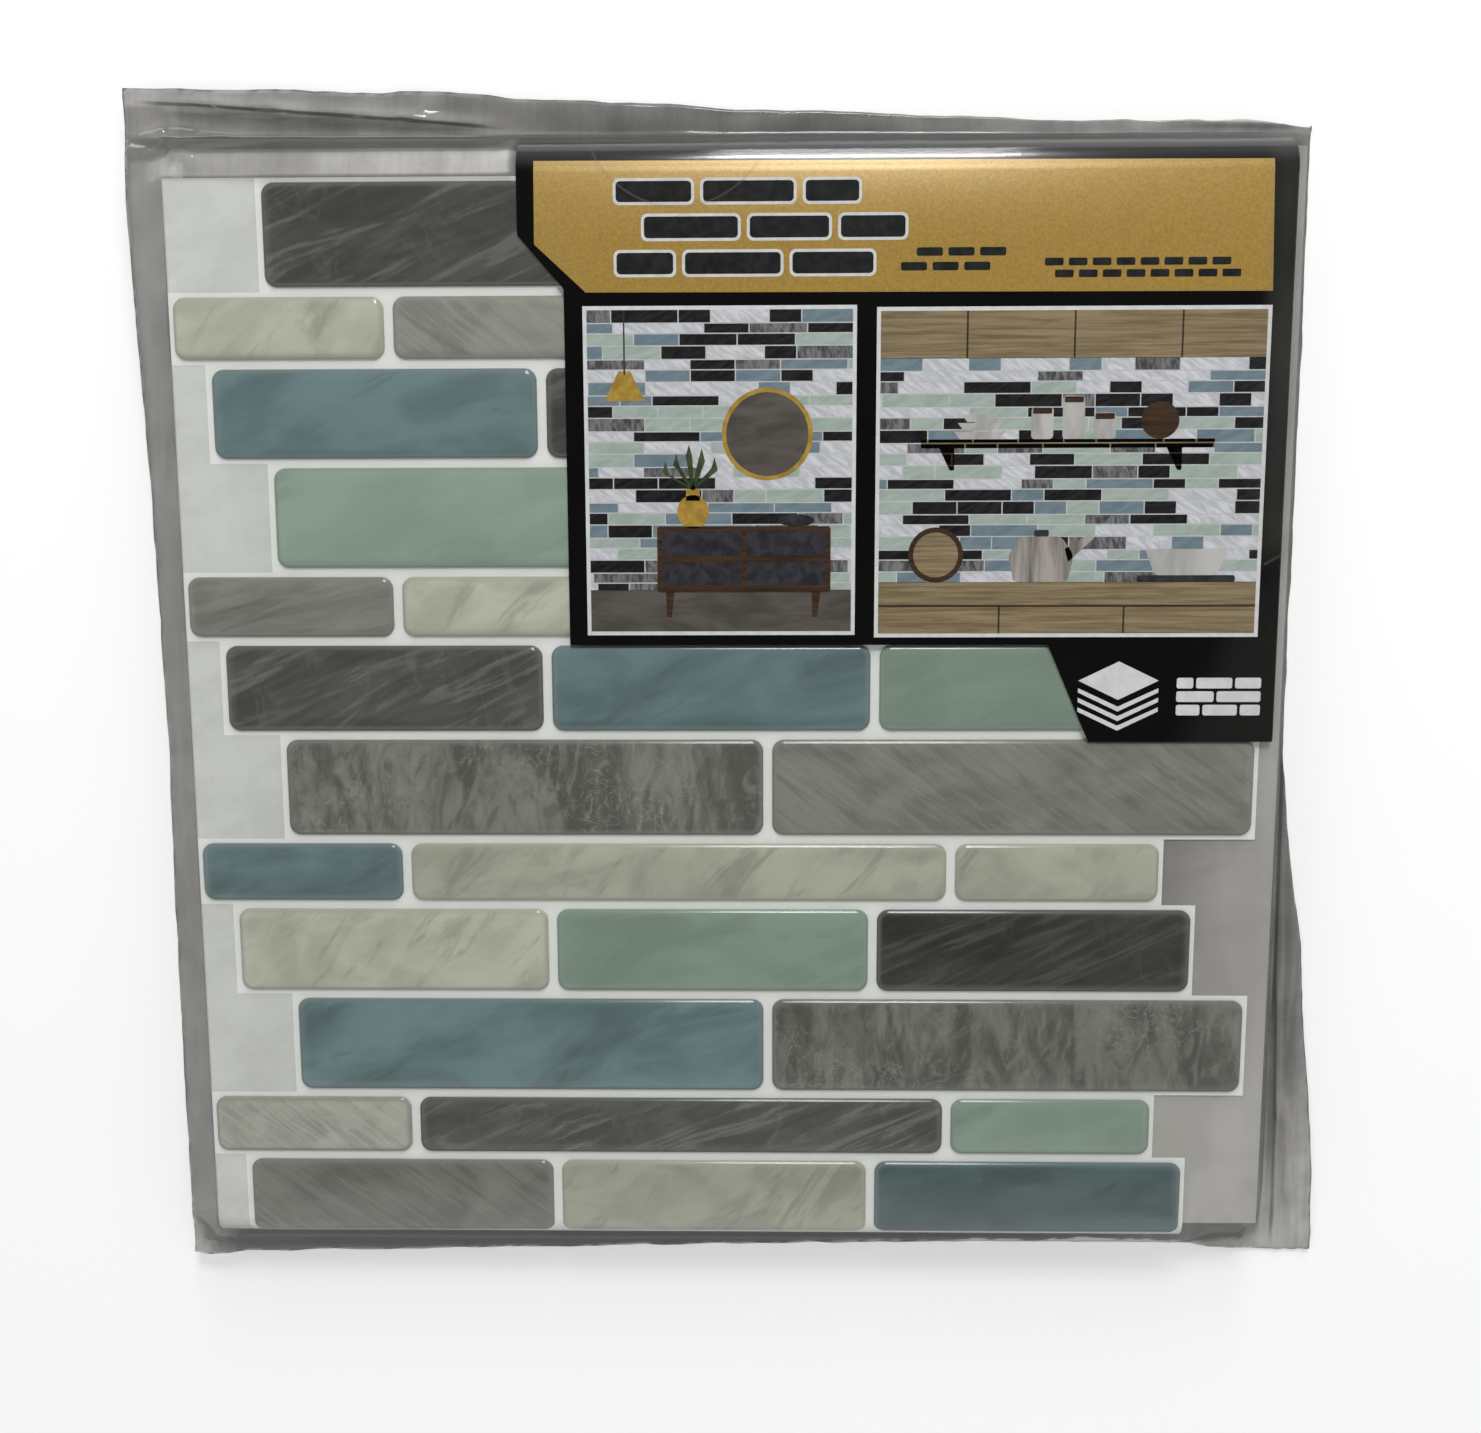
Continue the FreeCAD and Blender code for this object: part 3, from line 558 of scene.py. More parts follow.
# How much paler or darker each tile is drawn than its kind: partly the tile's own tone, partly painted shade,
# as on the bent last course.
TILE_TONES_AND_SHADE = {
    "gel_tile_01_a": 1.1, "gel_tile_02_a": 1.08, "gel_tile_02_b": 0.95, "gel_tile_03_a": 1.06,
    "gel_tile_03_b": 0.93, "gel_tile_04_a": 1.17, "gel_tile_05_a": 1.08, "gel_tile_05_b": 1.12,
    "gel_tile_06_a": 1.2, "gel_tile_06_c": 0.92, "gel_tile_07_a": 0.97, "gel_tile_08_a": 1.06,
    "gel_tile_08_b": 0.93, "gel_tile_08_c": 0.93, "gel_tile_09_a": 1.1, "gel_tile_09_c": 0.66,
    "gel_tile_10_a": 1.12, "gel_tile_10_b": 0.9, "gel_tile_11_a": 1.4, "gel_tile_11_b": 1.4,
    "gel_tile_11_c": 1.1, "gel_tile_12_a": 0.84, "gel_tile_12_b": 0.82, "gel_tile_12_c": 0.64,
}


def add_tile(shape, node, foot, height, corner, dome, segments, material_index=0):
    """Add one gel tile: a low block with round corners whose top is inset ring by ring into a dome."""
    left, low, right, high = flat_tile_box(node)
    wall = height * dome[0][1]
    rise = shape.verts.layers.float.get("rise") or shape.verts.layers.float.new("rise")
    tone = shape.verts.layers.float.get("tone") or shape.verts.layers.float.new("tone")
    first = len(shape.faces)
    centre = Vector(((left + right) / 2, (low + high) / 2, foot + wall / 2))
    block = bmesh.ops.create_cube(
        shape, size=1, matrix=Matrix.LocRotScale(centre, None, Vector((right - left, high - low, wall))))
    upright = {edge for vert in block["verts"] for edge in vert.link_edges
               if abs(edge.verts[0].co.z - edge.verts[1].co.z) > wall / 2}
    bmesh.ops.bevel(shape, geom=list(upright), offset=corner, offset_type="OFFSET", segments=segments,
                    profile=0.5, affect="EDGES", material=-1)
    faces = list(shape.faces)[first:]
    top = max(faces, key=lambda face: face.calc_center_median().z)
    for (run, share), (next_run, next_share) in zip(dome, dome[1:]):
        bmesh.ops.inset_region(shape, faces=[top], thickness=next_run - run,
                               depth=(next_share - share) * height, use_even_offset=True, use_boundary=True)
    for face in list(shape.faces)[first:]:
        face.material_index = material_index
        for vert in face.verts:
            vert[rise] = (vert.co.z - foot) / height
            vert[tone] = TILE_TONES_AND_SHADE.get(node, 1.0)


# The last course's gel stays clear of the sheet's lower edge by the first value at its left end, and by
# both values from the reach on. What lies above the given height stays in place.
FOOT_DRAW, FOOT_DRAW_MORE = 0.9, 1.4
FOOT_DRAW_REACH = 120.0
FOOT_DRAW_HEIGHT = BEND_LINE + 8


def bare_foot(shape):
    """Draw the last course's gel back from the sheet's lower edge, so that its vinyl shows."""
    for vert in shape.verts:
        share = max(0.0, (FOOT_DRAW_HEIGHT - vert.co.y) / FOOT_DRAW_HEIGHT)
        vert.co.y += share * (FOOT_DRAW + FOOT_DRAW_MORE * min(1.0, vert.co.x / FOOT_DRAW_REACH))


def bend_foot_down(shape):
    """Cut the foot of the top sheet's last course into strips and bend it down, as the CAD does."""
    for step in range(9):
        geometry = list(shape.verts) + list(shape.edges) + list(shape.faces)
        bmesh.ops.bisect_plane(shape, geom=geometry, dist=1e-5, plane_co=(0, BEND_LINE - 0.65 * step, 0),
                               plane_no=(0, 1, 0))
    axis_height = TOP_LINER_FOOT - BEND_RADIUS
    for vert in shape.verts:
        past = BEND_LINE - vert.co.y
        if past > 0:
            radius = vert.co.z - axis_height
            turn = min(past / BEND_MIDDLE, BEND_ANGLE)
            tail = max(0.0, past - BEND_MIDDLE * BEND_ANGLE)
            vert.co.y = BEND_LINE - radius * math.sin(turn) - tail * math.cos(turn)
            vert.co.z = axis_height + radius * math.cos(turn) - tail * math.sin(turn)


def add_slab(shape, outline, foot, thickness, material_index=0, corner=0.0):
    """Add a closed slab over an outline, with round corners where a radius is given. Returns its faces."""
    first = len(shape.faces)
    verts = [shape.verts.new((x, y, foot)) for x, y in outline]
    face = shape.faces.new(verts)
    if corner:
        bmesh.ops.bevel(shape, geom=verts, offset=corner, offset_type="OFFSET", segments=4, profile=0.5,
                        affect="VERTICES", material=-1)
        face = list(shape.faces)[first:][0]
    raised = bmesh.ops.extrude_face_region(shape, geom=[face])["geom"]
    bmesh.ops.translate(shape, vec=(0, 0, thickness),
                        verts=[item for item in raised if isinstance(item, bmesh.types.BMVert)])
    faces = list(shape.faces)[first:]
    bmesh.ops.recalc_face_normals(shape, faces=faces)
    for face in faces:
        face.material_index = material_index
    return faces


def sheet_outline():
    """The sheet's outline: straight on the left, stepped on the right, from the foot up."""
    outline = [(0.0, 0.0)]
    height = 0.0
    for _kind, rise, step in COURSES:
        outline.append((BASE_WIDTH + step, height))
        height += rise
        outline.append((BASE_WIDTH + step, height))
    outline.append((0.0, height))
    return outline


def flat_tile_box(node):
    """A gel tile's left, low, right and high edge on the flat sheet."""
    left, low, _bottom, right, high, _top = TILE_BOXES[node]
    if node.startswith("gel_tile_12"):
        low = high - MIDDLE_COURSE
    return left, low, right, high


gel_materials = {}
sheet_materials = {}
inks = {}


class PACK_OT_sheet_materials(bpy.types.Operator):
    """Make the gels, the vinyl and the release paper, and dress the top sheet's own layers"""

    bl_idname = "tile_pack.sheet_materials"
    bl_label = "Sheet materials"

    def execute(self, context):
        tiles = context.scene.pack_tiles
        for name, look in GEL_LOOKS.items():
            gel_materials[f"gel_{name}"] = gel_material(name, list(getattr(tiles, name)), **look)
        gel_materials[RISING_TILE] = gel_material("rising_grey", list(tiles.grey), **RISING_LOOK)
        sheet_materials["vinyl"] = vinyl_material(list(tiles.vinyl_colour))
        sheet_materials["liner"] = liner_material(list(tiles.liner_colour))
        frame["nodes"]["vinyl_backing"].material_slots[0].material = sheet_materials["vinyl"]
        frame["nodes"]["release_liner"].material_slots[0].material = sheet_materials["liner"]
        return {"FINISHED"}


class PACK_OT_gel_tiles(bpy.types.Operator):
    """Raise the top sheet's domed gel tiles, the last course bent down with the sheet's foot"""

    bl_idname = "tile_pack.gel_tiles"
    bl_label = "Gel tiles"

    def execute(self, context):
        tiles = context.scene.pack_tiles
        foot = GEL_TOP - tiles.gel_height / MM
        for node, slot in TILE_SLOTS.items():
            shape = bmesh.new()
            add_tile(shape, node, foot, tiles.gel_height / MM, tiles.corner / MM, DOME, 8)
            if node.startswith("gel_tile_12"):
                bare_foot(shape)
                bend_foot_down(shape)
            material = gel_materials.get(node, gel_materials[slot])
            piece = new_piece(shape, node.replace("gel_tile", "domed_tile"), [material], [node])
            shade_smooth(piece, 60)
        return {"FINISHED"}


class PACK_OT_packed_sheets(bpy.types.Operator):
    """Build the nine sheets under the top one, every second one face down"""

    bl_idname = "tile_pack.packed_sheets"
    bl_label = "Packed sheets"

    def execute(self, context):
        tiles = context.scene.pack_tiles
        liner, vinyl, gel = (value / MM for value in (tiles.liner, tiles.vinyl, tiles.gel_height))
        materials = [sheet_materials["liner"], sheet_materials["vinyl"]]
        materials += [gel_materials[slot] for slot in GEL_SLOTS]
        outline = sheet_outline()
        for number in range(2, SHEETS + 1):
            node = f"sheet_{number:02d}"
            left, low, bottom, right, _high, top = box_in_mm(node)
            shape = bmesh.new()
            add_slab(shape, outline, 0.0, liner, 0)
            add_slab(shape, outline, liner, vinyl, 1)
            for tile, slot in TILE_SLOTS.items():
                add_tile(shape, tile, liner + vinyl, gel, tiles.corner / MM, PLAIN_DOME, 3,
                         2 + GEL_SLOTS.index(slot))
            place = Matrix.Translation((left, low, bottom))
            if number % 2 == 0:
                place = Matrix.Translation((right, low, top)) @ Matrix.Rotation(math.pi, 4, "Y")
            bmesh.ops.transform(shape, matrix=place, verts=shape.verts)
            piece = new_piece(shape, f"tile_{node}", materials, [node])
            shade_smooth(piece, 50)
        return {"FINISHED"}


# Header card and its print.

CARD_OUTLINE = ((108.8, 178.1), (242.0, 178.1), (254.0, 150.7), (305.5, 150.7), (305.5, CARD_FOLD),
                (96.5, CARD_FOLD), (96.5, 289.1), (108.8, 274.9))
FOLD_MIDDLE = CARD_FOLD_RADIUS - CARD_THICKNESS / 2
FOLD_AXIS = CARD_TOP - CARD_FOLD_RADIUS
CARD_END = CARD_FOLD + FOLD_MIDDLE * math.pi / 2 + FOLD_AXIS - CARD_FOOT


def fold_card(shape):
    """Cut what passes the card's fold into strips and bend it down over the end of the stack."""
    for step in range(17):
        geometry = list(shape.verts) + list(shape.edges) + list(shape.faces)
        place = CARD_FOLD + FOLD_MIDDLE * math.pi / 2 * step / 16
        bmesh.ops.bisect_plane(shape, geom=geometry, dist=1e-5, plane_co=(0, place, 0), plane_no=(0, 1, 0))
    for vert in shape.verts:
        past = vert.co.y - CARD_FOLD
        if past > 0:
            turn = min(past / FOLD_MIDDLE, math.pi / 2)
            radius = vert.co.z - FOLD_AXIS
            vert.co.y = CARD_FOLD + radius * math.sin(turn)
            vert.co.z = FOLD_AXIS + radius * math.cos(turn) - max(0.0, past - FOLD_MIDDLE * math.pi / 2)


class PACK_OT_header_card(bpy.types.Operator):
    """Cut the printed card and fold it over the top end of the stack"""

    bl_idname = "tile_pack.header_card"
    bl_label = "Header card"

    def execute(self, context):
        card = context.scene.pack_card
        outline = [(x, CARD_END if y == CARD_FOLD else y) for x, y in CARD_OUTLINE]
        shape = bmesh.new()
        faces = add_slab(shape, outline, CARD_TOP - CARD_THICKNESS, CARD_THICKNESS, 1, corner=0.5)
        for face in faces:
            if face.normal.z > 0.5:
                face.material_index = 0
        fold_card(shape)
        piece = new_piece(shape, "folded_header_card", [card_material(list(card.black)), board_material()],
                          ["header_card"])
        shade_smooth(piece)
        return {"FINISHED"}


def rectangle(left, low, right, high):
    """The corners of a rectangle."""
    return [(left, low), (right, low), (right, high), (left, high)]


def disc(x, y, radius_x, radius_y, count=28):
    """Points round an ellipse."""
    turns = [2 * math.pi * step / count for step in range(count)]
    return [(x + radius_x * math.cos(turn), y + radius_y * math.sin(turn)) for turn in turns]


class Print:
    """Thin layers of ink on the card, each one a closed slab a little over the one below."""

    def __init__(self, layer):
        self.shape = bmesh.new()
        self.layer = layer
        self.materials = []

    def add(self, outline, level, ink, corner=0.0):
        material = inks[ink]
        if material not in self.materials:
            self.materials.append(material)
        add_slab(self.shape, outline, CARD_TOP - 0.02, 0.02 + self.layer * level,
                 self.materials.index(material), corner)

    def finish(self, name):
        fold_card(self.shape)
        piece = new_piece(self.shape, name, self.materials)
        shade_smooth(piece)
        return piece


class PACK_OT_gold_panel(bpy.types.Operator):
    """Print the gold panel with its running bond motif"""

    bl_idname = "tile_pack.gold_panel"
    bl_label = "Gold panel"

    def execute(self, context):
        card = context.scene.pack_card
        inks["gold"] = gold_material(list(card.gold))
        inks["white"] = ink_material("print_white", (0.62, 0.62, 0.60), (0.72, 0.72, 0.70))
        inks["black"] = ink_material("print_black", (0.008, 0.009, 0.009), (0.02, 0.02, 0.02))
        ink = Print(card.print_layer / MM)
        ink.add([(101.05, 286.6), (114.8, 273.9), (299.9, 273.4), (298.9, 307.6), (101.3, 308.3)], 1, "gold")
        # Running bond of black tiles with pale edges, in three courses.
        courses = ((296.6, 303.6, (122.5, 146.0, 173.5, 191.0)),
                   (287.2, 294.4, (130.0, 158.5, 183.0, 203.5)),
                   (277.8, 285.0, (122.5, 141.0, 170.0, 195.0)))
        for low, high, stops in courses:
            for left, right in zip(stops, stops[1:]):
                ink.add(rectangle(left, low, right - 1.6, high), 2, "white", corner=1.7)
                ink.add(rectangle(left + 0.8, low + 0.8, right - 2.4, high - 0.8), 3, "black", corner=1.1)
        # A short run of slim tiles beside them, and a small border of bars.
        for step in range(3):
            ink.add(rectangle(200.0 + 8.5 * step, 279.2, 207.0 + 8.5 * step, 281.4), 2, "black", corner=0.5)
            ink.add(rectangle(204.2 + 8.5 * step, 283.0, 211.2 + 8.5 * step, 285.2), 2, "black", corner=0.5)
        for step in range(8):
            ink.add(rectangle(238.6 + 6.4 * step, 280.3, 243.6 + 6.4 * step, 282.3), 2, "black", corner=0.4)
            ink.add(rectangle(241.4 + 6.4 * step, 277.2, 246.4 + 6.4 * step, 279.2), 2, "black", corner=0.4)
        ink.finish("gold_panel_print")
        return {"FINISHED"}


# Inks of the pictures: darkest and palest colour, and the size and turn of the mottling where they matter.
PICTURE_INKS = {
    "grout": ((0.52, 0.53, 0.54), (0.60, 0.61, 0.62)),
    "charcoal": ((0.006, 0.006, 0.006), (0.022, 0.022, 0.022), (5, 1, 2), 0.5),
    "blue": ((0.15, 0.21, 0.245), (0.20, 0.265, 0.30), (7, 2, 2), 0.4),
    "green": ((0.34, 0.42, 0.365), (0.42, 0.50, 0.45), (7, 2, 2), 0.4),
    "smoke": ((0.06, 0.06, 0.06), (0.22, 0.22, 0.22), (1.2, 4, 2), 0.1),
    "marble": ((0.50, 0.51, 0.54), (0.70, 0.71, 0.74), (6, 1.2, 2), -0.6),
    "floor": ((0.075, 0.066, 0.056), (0.12, 0.107, 0.092), (17, 5, 17)),
    "mustard": ((0.34, 0.21, 0.03), (0.48, 0.31, 0.06)),
    "slate": ((0.022, 0.021, 0.026), (0.045, 0.043, 0.05)),
    "leaf": ((0.03, 0.05, 0.018), (0.07, 0.1, 0.04)),
    "steel": ((0.16, 0.145, 0.125), (0.42, 0.39, 0.35), (4, 50, 17)),
    "china": ((0.38, 0.37, 0.35), (0.55, 0.54, 0.52), (11, 25, 17)),
}
PICTURE_WOODS = {
    "oak": ((0.17, 0.125, 0.065), (0.33, 0.26, 0.15)),
    "walnut": ((0.03, 0.016, 0.009), (0.075, 0.042, 0.024)),
}
# How often each ink comes up in a picture's wall of small tiles.
WALL_SHARES = {"grout": 0, "charcoal": 26, "blue": 20, "green": 22, "smoke": 12, "marble": 30}


class PACK_OT_room_pictures(bpy.types.Operator):
    """Print the two framed pictures of tiled walls and the sheet pictogram on the tab"""

    bl_idname = "tile_pack.room_pictures"
    bl_label = "Room pictures"

    def execute(self, context):
        layer = context.scene.pack_card.print_layer / MM
        inks["frame_white"] = ink_material("frame_white", (0.66, 0.67, 0.66), (0.74, 0.75, 0.74))
        for name, look in PICTURE_INKS.items():
            inks[name] = ink_material(f"picture_{name}", *look)
        for name, colours in PICTURE_WOODS.items():
            inks[name] = wood_material(f"picture_{name}", *colours)
        self.living_room(layer)
        self.kitchen(layer)
        self.tab(layer)
        return {"FINISHED"}

    def wall(self, ink, left, low, right, high, seed):
        """A wall of small mixed tiles, in courses of three heights, each course with its own joints."""
        dice = random.Random(seed)
        ink.add(rectangle(left, low, right, high), 2, "grout")
        course = high
        number = 0
        while course > low + 1:
            height = (3.3, 2.4, 2.9)[number % 3]
            foot = max(low, course - height)
            start = left - dice.uniform(0, 9)
            while start < right - 1:
                end = start + dice.choice((8.5, 12.0, 15.5, 18.0))
                tile = rectangle(max(start, left), foot, min(end, right), course)
                if tile[1][0] - tile[0][0] > 0.6:
                    ink.add(tile, 3, dice.choices(list(WALL_SHARES), WALL_SHARES.values())[0])
                start = end + 0.35
            course = foot - 0.35
            number += 1

    def living_room(self, layer):
        """Left picture: a low sideboard under a round mirror, with a lamp hanging beside it."""
        ink = Print(layer)
        ink.add(rectangle(113.8, 180.9, 188.3, 270.3), 1, "frame_white")
        self.wall(ink, 114.9, 193.4, 187.2, 269.2, 4)
        ink.add(rectangle(114.9, 182.0, 187.2, 193.5), 3, "floor")
        for left in (136.0, 176.5):
            leg = [(left, 186.0), (left + 1.4, 186.0), (left + 2.2, 193.0), (left - 0.2, 193.0)]
            ink.add(leg, 4, "walnut")
        ink.add(rectangle(133.5, 192.8, 181.5, 211.0), 4, "walnut", corner=0.8)
        for low in (194.6, 203.0):
            ink.add(rectangle(135.0, low, 156.7, low + 6.6), 5, "slate", corner=0.5)
            ink.add(rectangle(158.3, low, 180.0, low + 6.6), 5, "slate", corner=0.5)
        ink.add(disc(164.0, 236.0, 12.5, 12.5), 4, "mustard")
        ink.add(disc(164.0, 236.0, 11.3, 11.3), 5, "floor")
        ink.add(disc(143.5, 215.0, 4.4, 4.6), 4, "mustard")
        ink.add(rectangle(141.6, 218.0, 145.4, 221.2), 4, "mustard")
        for lean in (-7.5, -4.5, -1.0, 2.5, 6.0):
            tip = (143.5 + lean, 234.0 - abs(lean) * 0.7)
            ink.add([(143.1, 221.0), (143.9, 221.0), (tip[0] + 0.9, tip[1] - 3.5), tip,
                     (tip[0] - 0.9, tip[1] - 3.0)], 5, "leaf")
        ink.add(disc(172.0, 212.6, 5.0, 1.7), 4, "slate")
        ink.add(rectangle(124.8, 252.0, 125.2, 269.2), 4, "slate")
        ink.add([(119.5, 245.0), (130.5, 245.0), (126.6, 253.0), (123.4, 253.0)], 4, "mustard")
        ink.finish("left_picture_print")

    def kitchen(self, layer):
        """Right picture: an open shelf over a worktop, with bowls, jars and a kettle."""
        ink = Print(layer)
        ink.add(rectangle(193.7, 180.2, 300.0, 269.7), 1, "frame_white")
        self.wall(ink, 194.8, 195.4, 298.9, 256.1, 9)
        ink.add(rectangle(194.8, 181.3, 298.9, 195.5), 3, "oak")
        ink.add(rectangle(194.8, 188.6, 298.9, 189.2), 4, "walnut")
        for left in (228.0, 262.5):
            ink.add(rectangle(left, 181.3, left + 0.5, 188.6), 4, "walnut")
        ink.add(rectangle(194.8, 256.0, 298.9, 268.6), 3, "oak")
        for left in (218.0, 247.0, 276.0):
            ink.add(rectangle(left, 256.0, left + 0.5, 268.6), 4, "walnut")
        ink.add(rectangle(206.0, 232.0, 286.0, 234.4), 3, "oak")
        for left in (214.0, 276.0):
            bracket = [(left, 226.0), (left + 1.2, 226.0), (left + 1.2, 232.0), (left - 3.0, 232.0)]
            ink.add(bracket, 3, "walnut")
        for step, width in enumerate((7.0, 6.0, 5.0)):
            low = 234.4 + 2.3 * step
            ink.add([(222.0 - width + 1.6, low), (222.0 + width - 1.6, low), (222.0 + width, low + 2.1),
                     (222.0 - width, low + 2.1)], 4, "china")
        for left, high in ((236.0, 243.0), (244.5, 246.0), (253.0, 241.5)):
            ink.add(rectangle(left, 234.4, left + 6.0, high), 4, "china", corner=1.0)
            ink.add(rectangle(left + 0.4, high - 1.8, left + 5.6, high - 0.2), 5, "walnut", corner=0.4)
        ink.add(disc(271.0, 239.4, 5.2, 5.0), 4, "walnut")
        ink.add(disc(210.5, 203.0, 7.6, 7.6), 4, "walnut")
        ink.add(disc(210.5, 203.0, 6.2, 6.2), 5, "oak")
        kettle = [(232.0, 195.5), (247.0, 195.5), (248.5, 203.0), (245.0, 208.0), (234.0, 208.0),
                  (230.5, 203.0)]
        ink.add(kettle, 4, "steel", corner=1.4)
        ink.add([(247.0, 201.0), (254.0, 207.6), (252.6, 208.6), (246.0, 204.6)], 4, "steel")
        ink.add(rectangle(237.5, 208.0, 241.5, 209.8), 5, "slate", corner=0.5)
        ink.add(rectangle(266.0, 195.5, 293.0, 197.3), 4, "slate", corner=0.5)
        ink.add([(271.0, 197.3), (288.0, 197.3), (291.0, 204.5), (268.0, 204.5)], 4, "china", corner=1.0)
        ink.finish("right_picture_print")

    def tab(self, layer):
        """Lower tab: a pictogram of stacked sheets and a course of small tiles."""
        ink = Print(layer)
        ink.add([(250.8, 168.0), (262.0, 162.6), (273.2, 168.0), (262.0, 173.4)], 1, "frame_white")
        for step in range(3):
            low = 163.4 - 2.7 * step
            ink.add([(250.8, low + 1.3), (262.0, low - 4.1), (273.2, low + 1.3), (273.2, low + 2.5),
                     (262.0, low - 2.7), (250.8, low + 2.5)], 1, "frame_white")
        for row, (low, stops) in enumerate(((158.2, (278.2, 285.6, 296.0, 302.4)),
                                            (162.0, (278.2, 289.4, 302.4)),
                                            (165.8, (278.2, 283.6, 294.4, 302.4)))):
            for left, right in zip(stops, stops[1:]):
                ink.add(rectangle(left, low, right - 0.8, low + 3.0), 1, "frame_white", corner=0.6)
        ink.finish("tab_pictogram_print")


# Film sleeve.

FILM_LEFT, FILM_LOW, _, FILM_RIGHT, FILM_HIGH, FILM_TOP = box_in_mm("clear_film_sleeve")
WALL_RIGHT = 314.6
SEAL = 318.8
# How far past the bend line the film lies against the bent foot.
FILM_ON_BEND = 5.2
# Along each side of the sleeve: place, edge, and height of the edge over the floor.
LEFT_EDGE = ((-11, -12.6, 5.0), (0, -14.4, 3.0), (30, -15.3, 1.0), (67, -15.2, 0.6), (90, -15.2, 0.4),
             (148, -14.4, 0.4), (207, -15.0, 0.4), (240, -15.3, 2.0), (267, -15.4, 4.2), (300, -15.4, 6.0),
             (333, -15.4, 3.8))
LOW_EDGE = ((-15.5, -10.6, 8.0), (-8, -10.9, 8.0), (2, -10.6, 6.0), (25, -10.8, 4.5), (80, -10.7, 2.2),
            (144, -10.2, 0.3), (200, -8.9, 0.3), (262, -7.8, 0.3), (290, -8.6, 0.5), (306, -10.4, 1.0),
            (331.5, -10.4, 0.4))
HIGH_EDGE = ((-15.5, 332.4, 3.6), (30, 331.8, 2.4), (75, 330.8, 1.6), (90, 330.0, 1.6), (117, 327.9, 1.4),
             (187, 325.0, 1.2), (256, 322.5, 1.0), (280, 322.4, 0.9), (314.9, 320.6, 0.8))
RIGHT_EDGE = ((-11, 331.2, 0.6), (20, 330.0, 0.8), (34, 328.8, 1.0), (60, 326.0, 0.8), (85, 323.6, 0.8),
              (110, 319.6, 0.8), (134, 316.8, 0.8), (150, 315.4, 0.8), (333, 315.0, 0.8))


def along(edge, column, places):
    """A column of an edge's table, read at some places."""
    return np.interp(places, [row[0] for row in edge], [row[column] for row in edge])


def frayed(edge, places, size, scale, seed):
    """An edge of the film with the small waves it was torn or pressed in."""
    waves = [noise.noise(Vector((place / scale, seed, 0.5)))
             + 0.5 * noise.noise(Vector((place / scale * 2.7, seed, 3.5))) for place in places]
    return along(edge, 1, places) + size * np.array(waves)


def ripple(places, scale, seed, stretch=(1, 1)):
    """Smooth noise from -1 to 1 at an array of points in millimetres."""
    flat = places.reshape(-1, 2)
    values = [noise.noise(Vector((x * stretch[0] / scale, y * stretch[1] / scale, seed))) for x, y in flat]
    return np.array(values).reshape(places.shape[:2])


def sections(bounds, counts):
    """Stations between bounds, each bound an array over the other direction, with a count for each gap."""
    rows = []
    for start, end, count in zip(bounds, bounds[1:], counts):
        rows.extend(start + (end - start) * step / count for step in range(count))
    rows.append(bounds[-1])
    return np.array(rows)


def support_height(x, y, clearance):
    """How high the contents reach at each point of the film's grid, and the floor elsewhere."""
    reach = np.zeros_like(x)
    for number in range(2, SHEETS + 1):
        left, low, _bottom, right, high, top = box_in_mm(f"sheet_{number:02d}")
        inside = (x > left) & (x < right) & (y > low) & (y < high)
        reach = np.where(inside, np.maximum(reach, top), reach)
    height = 0.0
    for _kind, rise, step in COURSES:
        inside = (x > 0) & (x < BASE_WIDTH + step) & (y > height) & (y < height + rise) & (y > BEND_LINE)
        reach = np.where(inside, np.maximum(reach, GEL_TOP - 1.5), reach)
        height += rise
    for node in TILE_SLOTS:
        left, low, right, high = flat_tile_box(node)
        inside = (x > left + 0.4) & (x < right - 0.4) & (y > max(low + 0.4, BEND_LINE)) & (y < high - 0.4)
        reach = np.where(inside, np.maximum(reach, GEL_TOP), reach)
    past = np.clip(BEND_LINE - y, 0, FILM_ON_BEND)
    bent = GEL_TOP - (BEND_RADIUS + SHEET_THICKNESS) * (1 - np.cos(past / BEND_MIDDLE))
    inside = (x > 0) & (x < BASE_WIDTH + 9.7) & (y > 1.2) & (y <= BEND_LINE)
    reach = np.where(inside, np.maximum(reach, bent), reach)
    on_card = (x > 96.5) & (x < 305.5) & (y > 178.1) & (y <= CARD_FOLD)
    on_card |= (x > 248.0) & (x < 305.5) & (y > 150.7) & (y <= 178.1)
    reach = np.where(on_card, CARD_TOP + 0.16, reach)
    outer = CARD_FOLD_RADIUS + 0.16 + 0.3 * np.clip((y - CARD_FOLD) / 3, 0, 1)
    past = np.clip(y - CARD_FOLD, 0, outer)
    fold = FOLD_AXIS + np.sqrt(np.maximum(outer ** 2 - past ** 2, 0))
    on_fold = (x > 96.0) & (x < 306.0) & (y > CARD_FOLD) & (y <= CARD_FOLD + outer)
    reach = np.where(on_fold, np.maximum(reach, fold), reach)
    return np.where(reach > 0, reach + clearance, 0.0)


def widened(heights):
    """Each height raised to the highest of its neighbours, so that the film clears every edge."""
    padded = np.pad(heights, 1, mode="edge")
    rows, columns = heights.shape
    return np.max([padded[i:i + rows, j:j + columns] for i in range(3) for j in range(3)], axis=0)


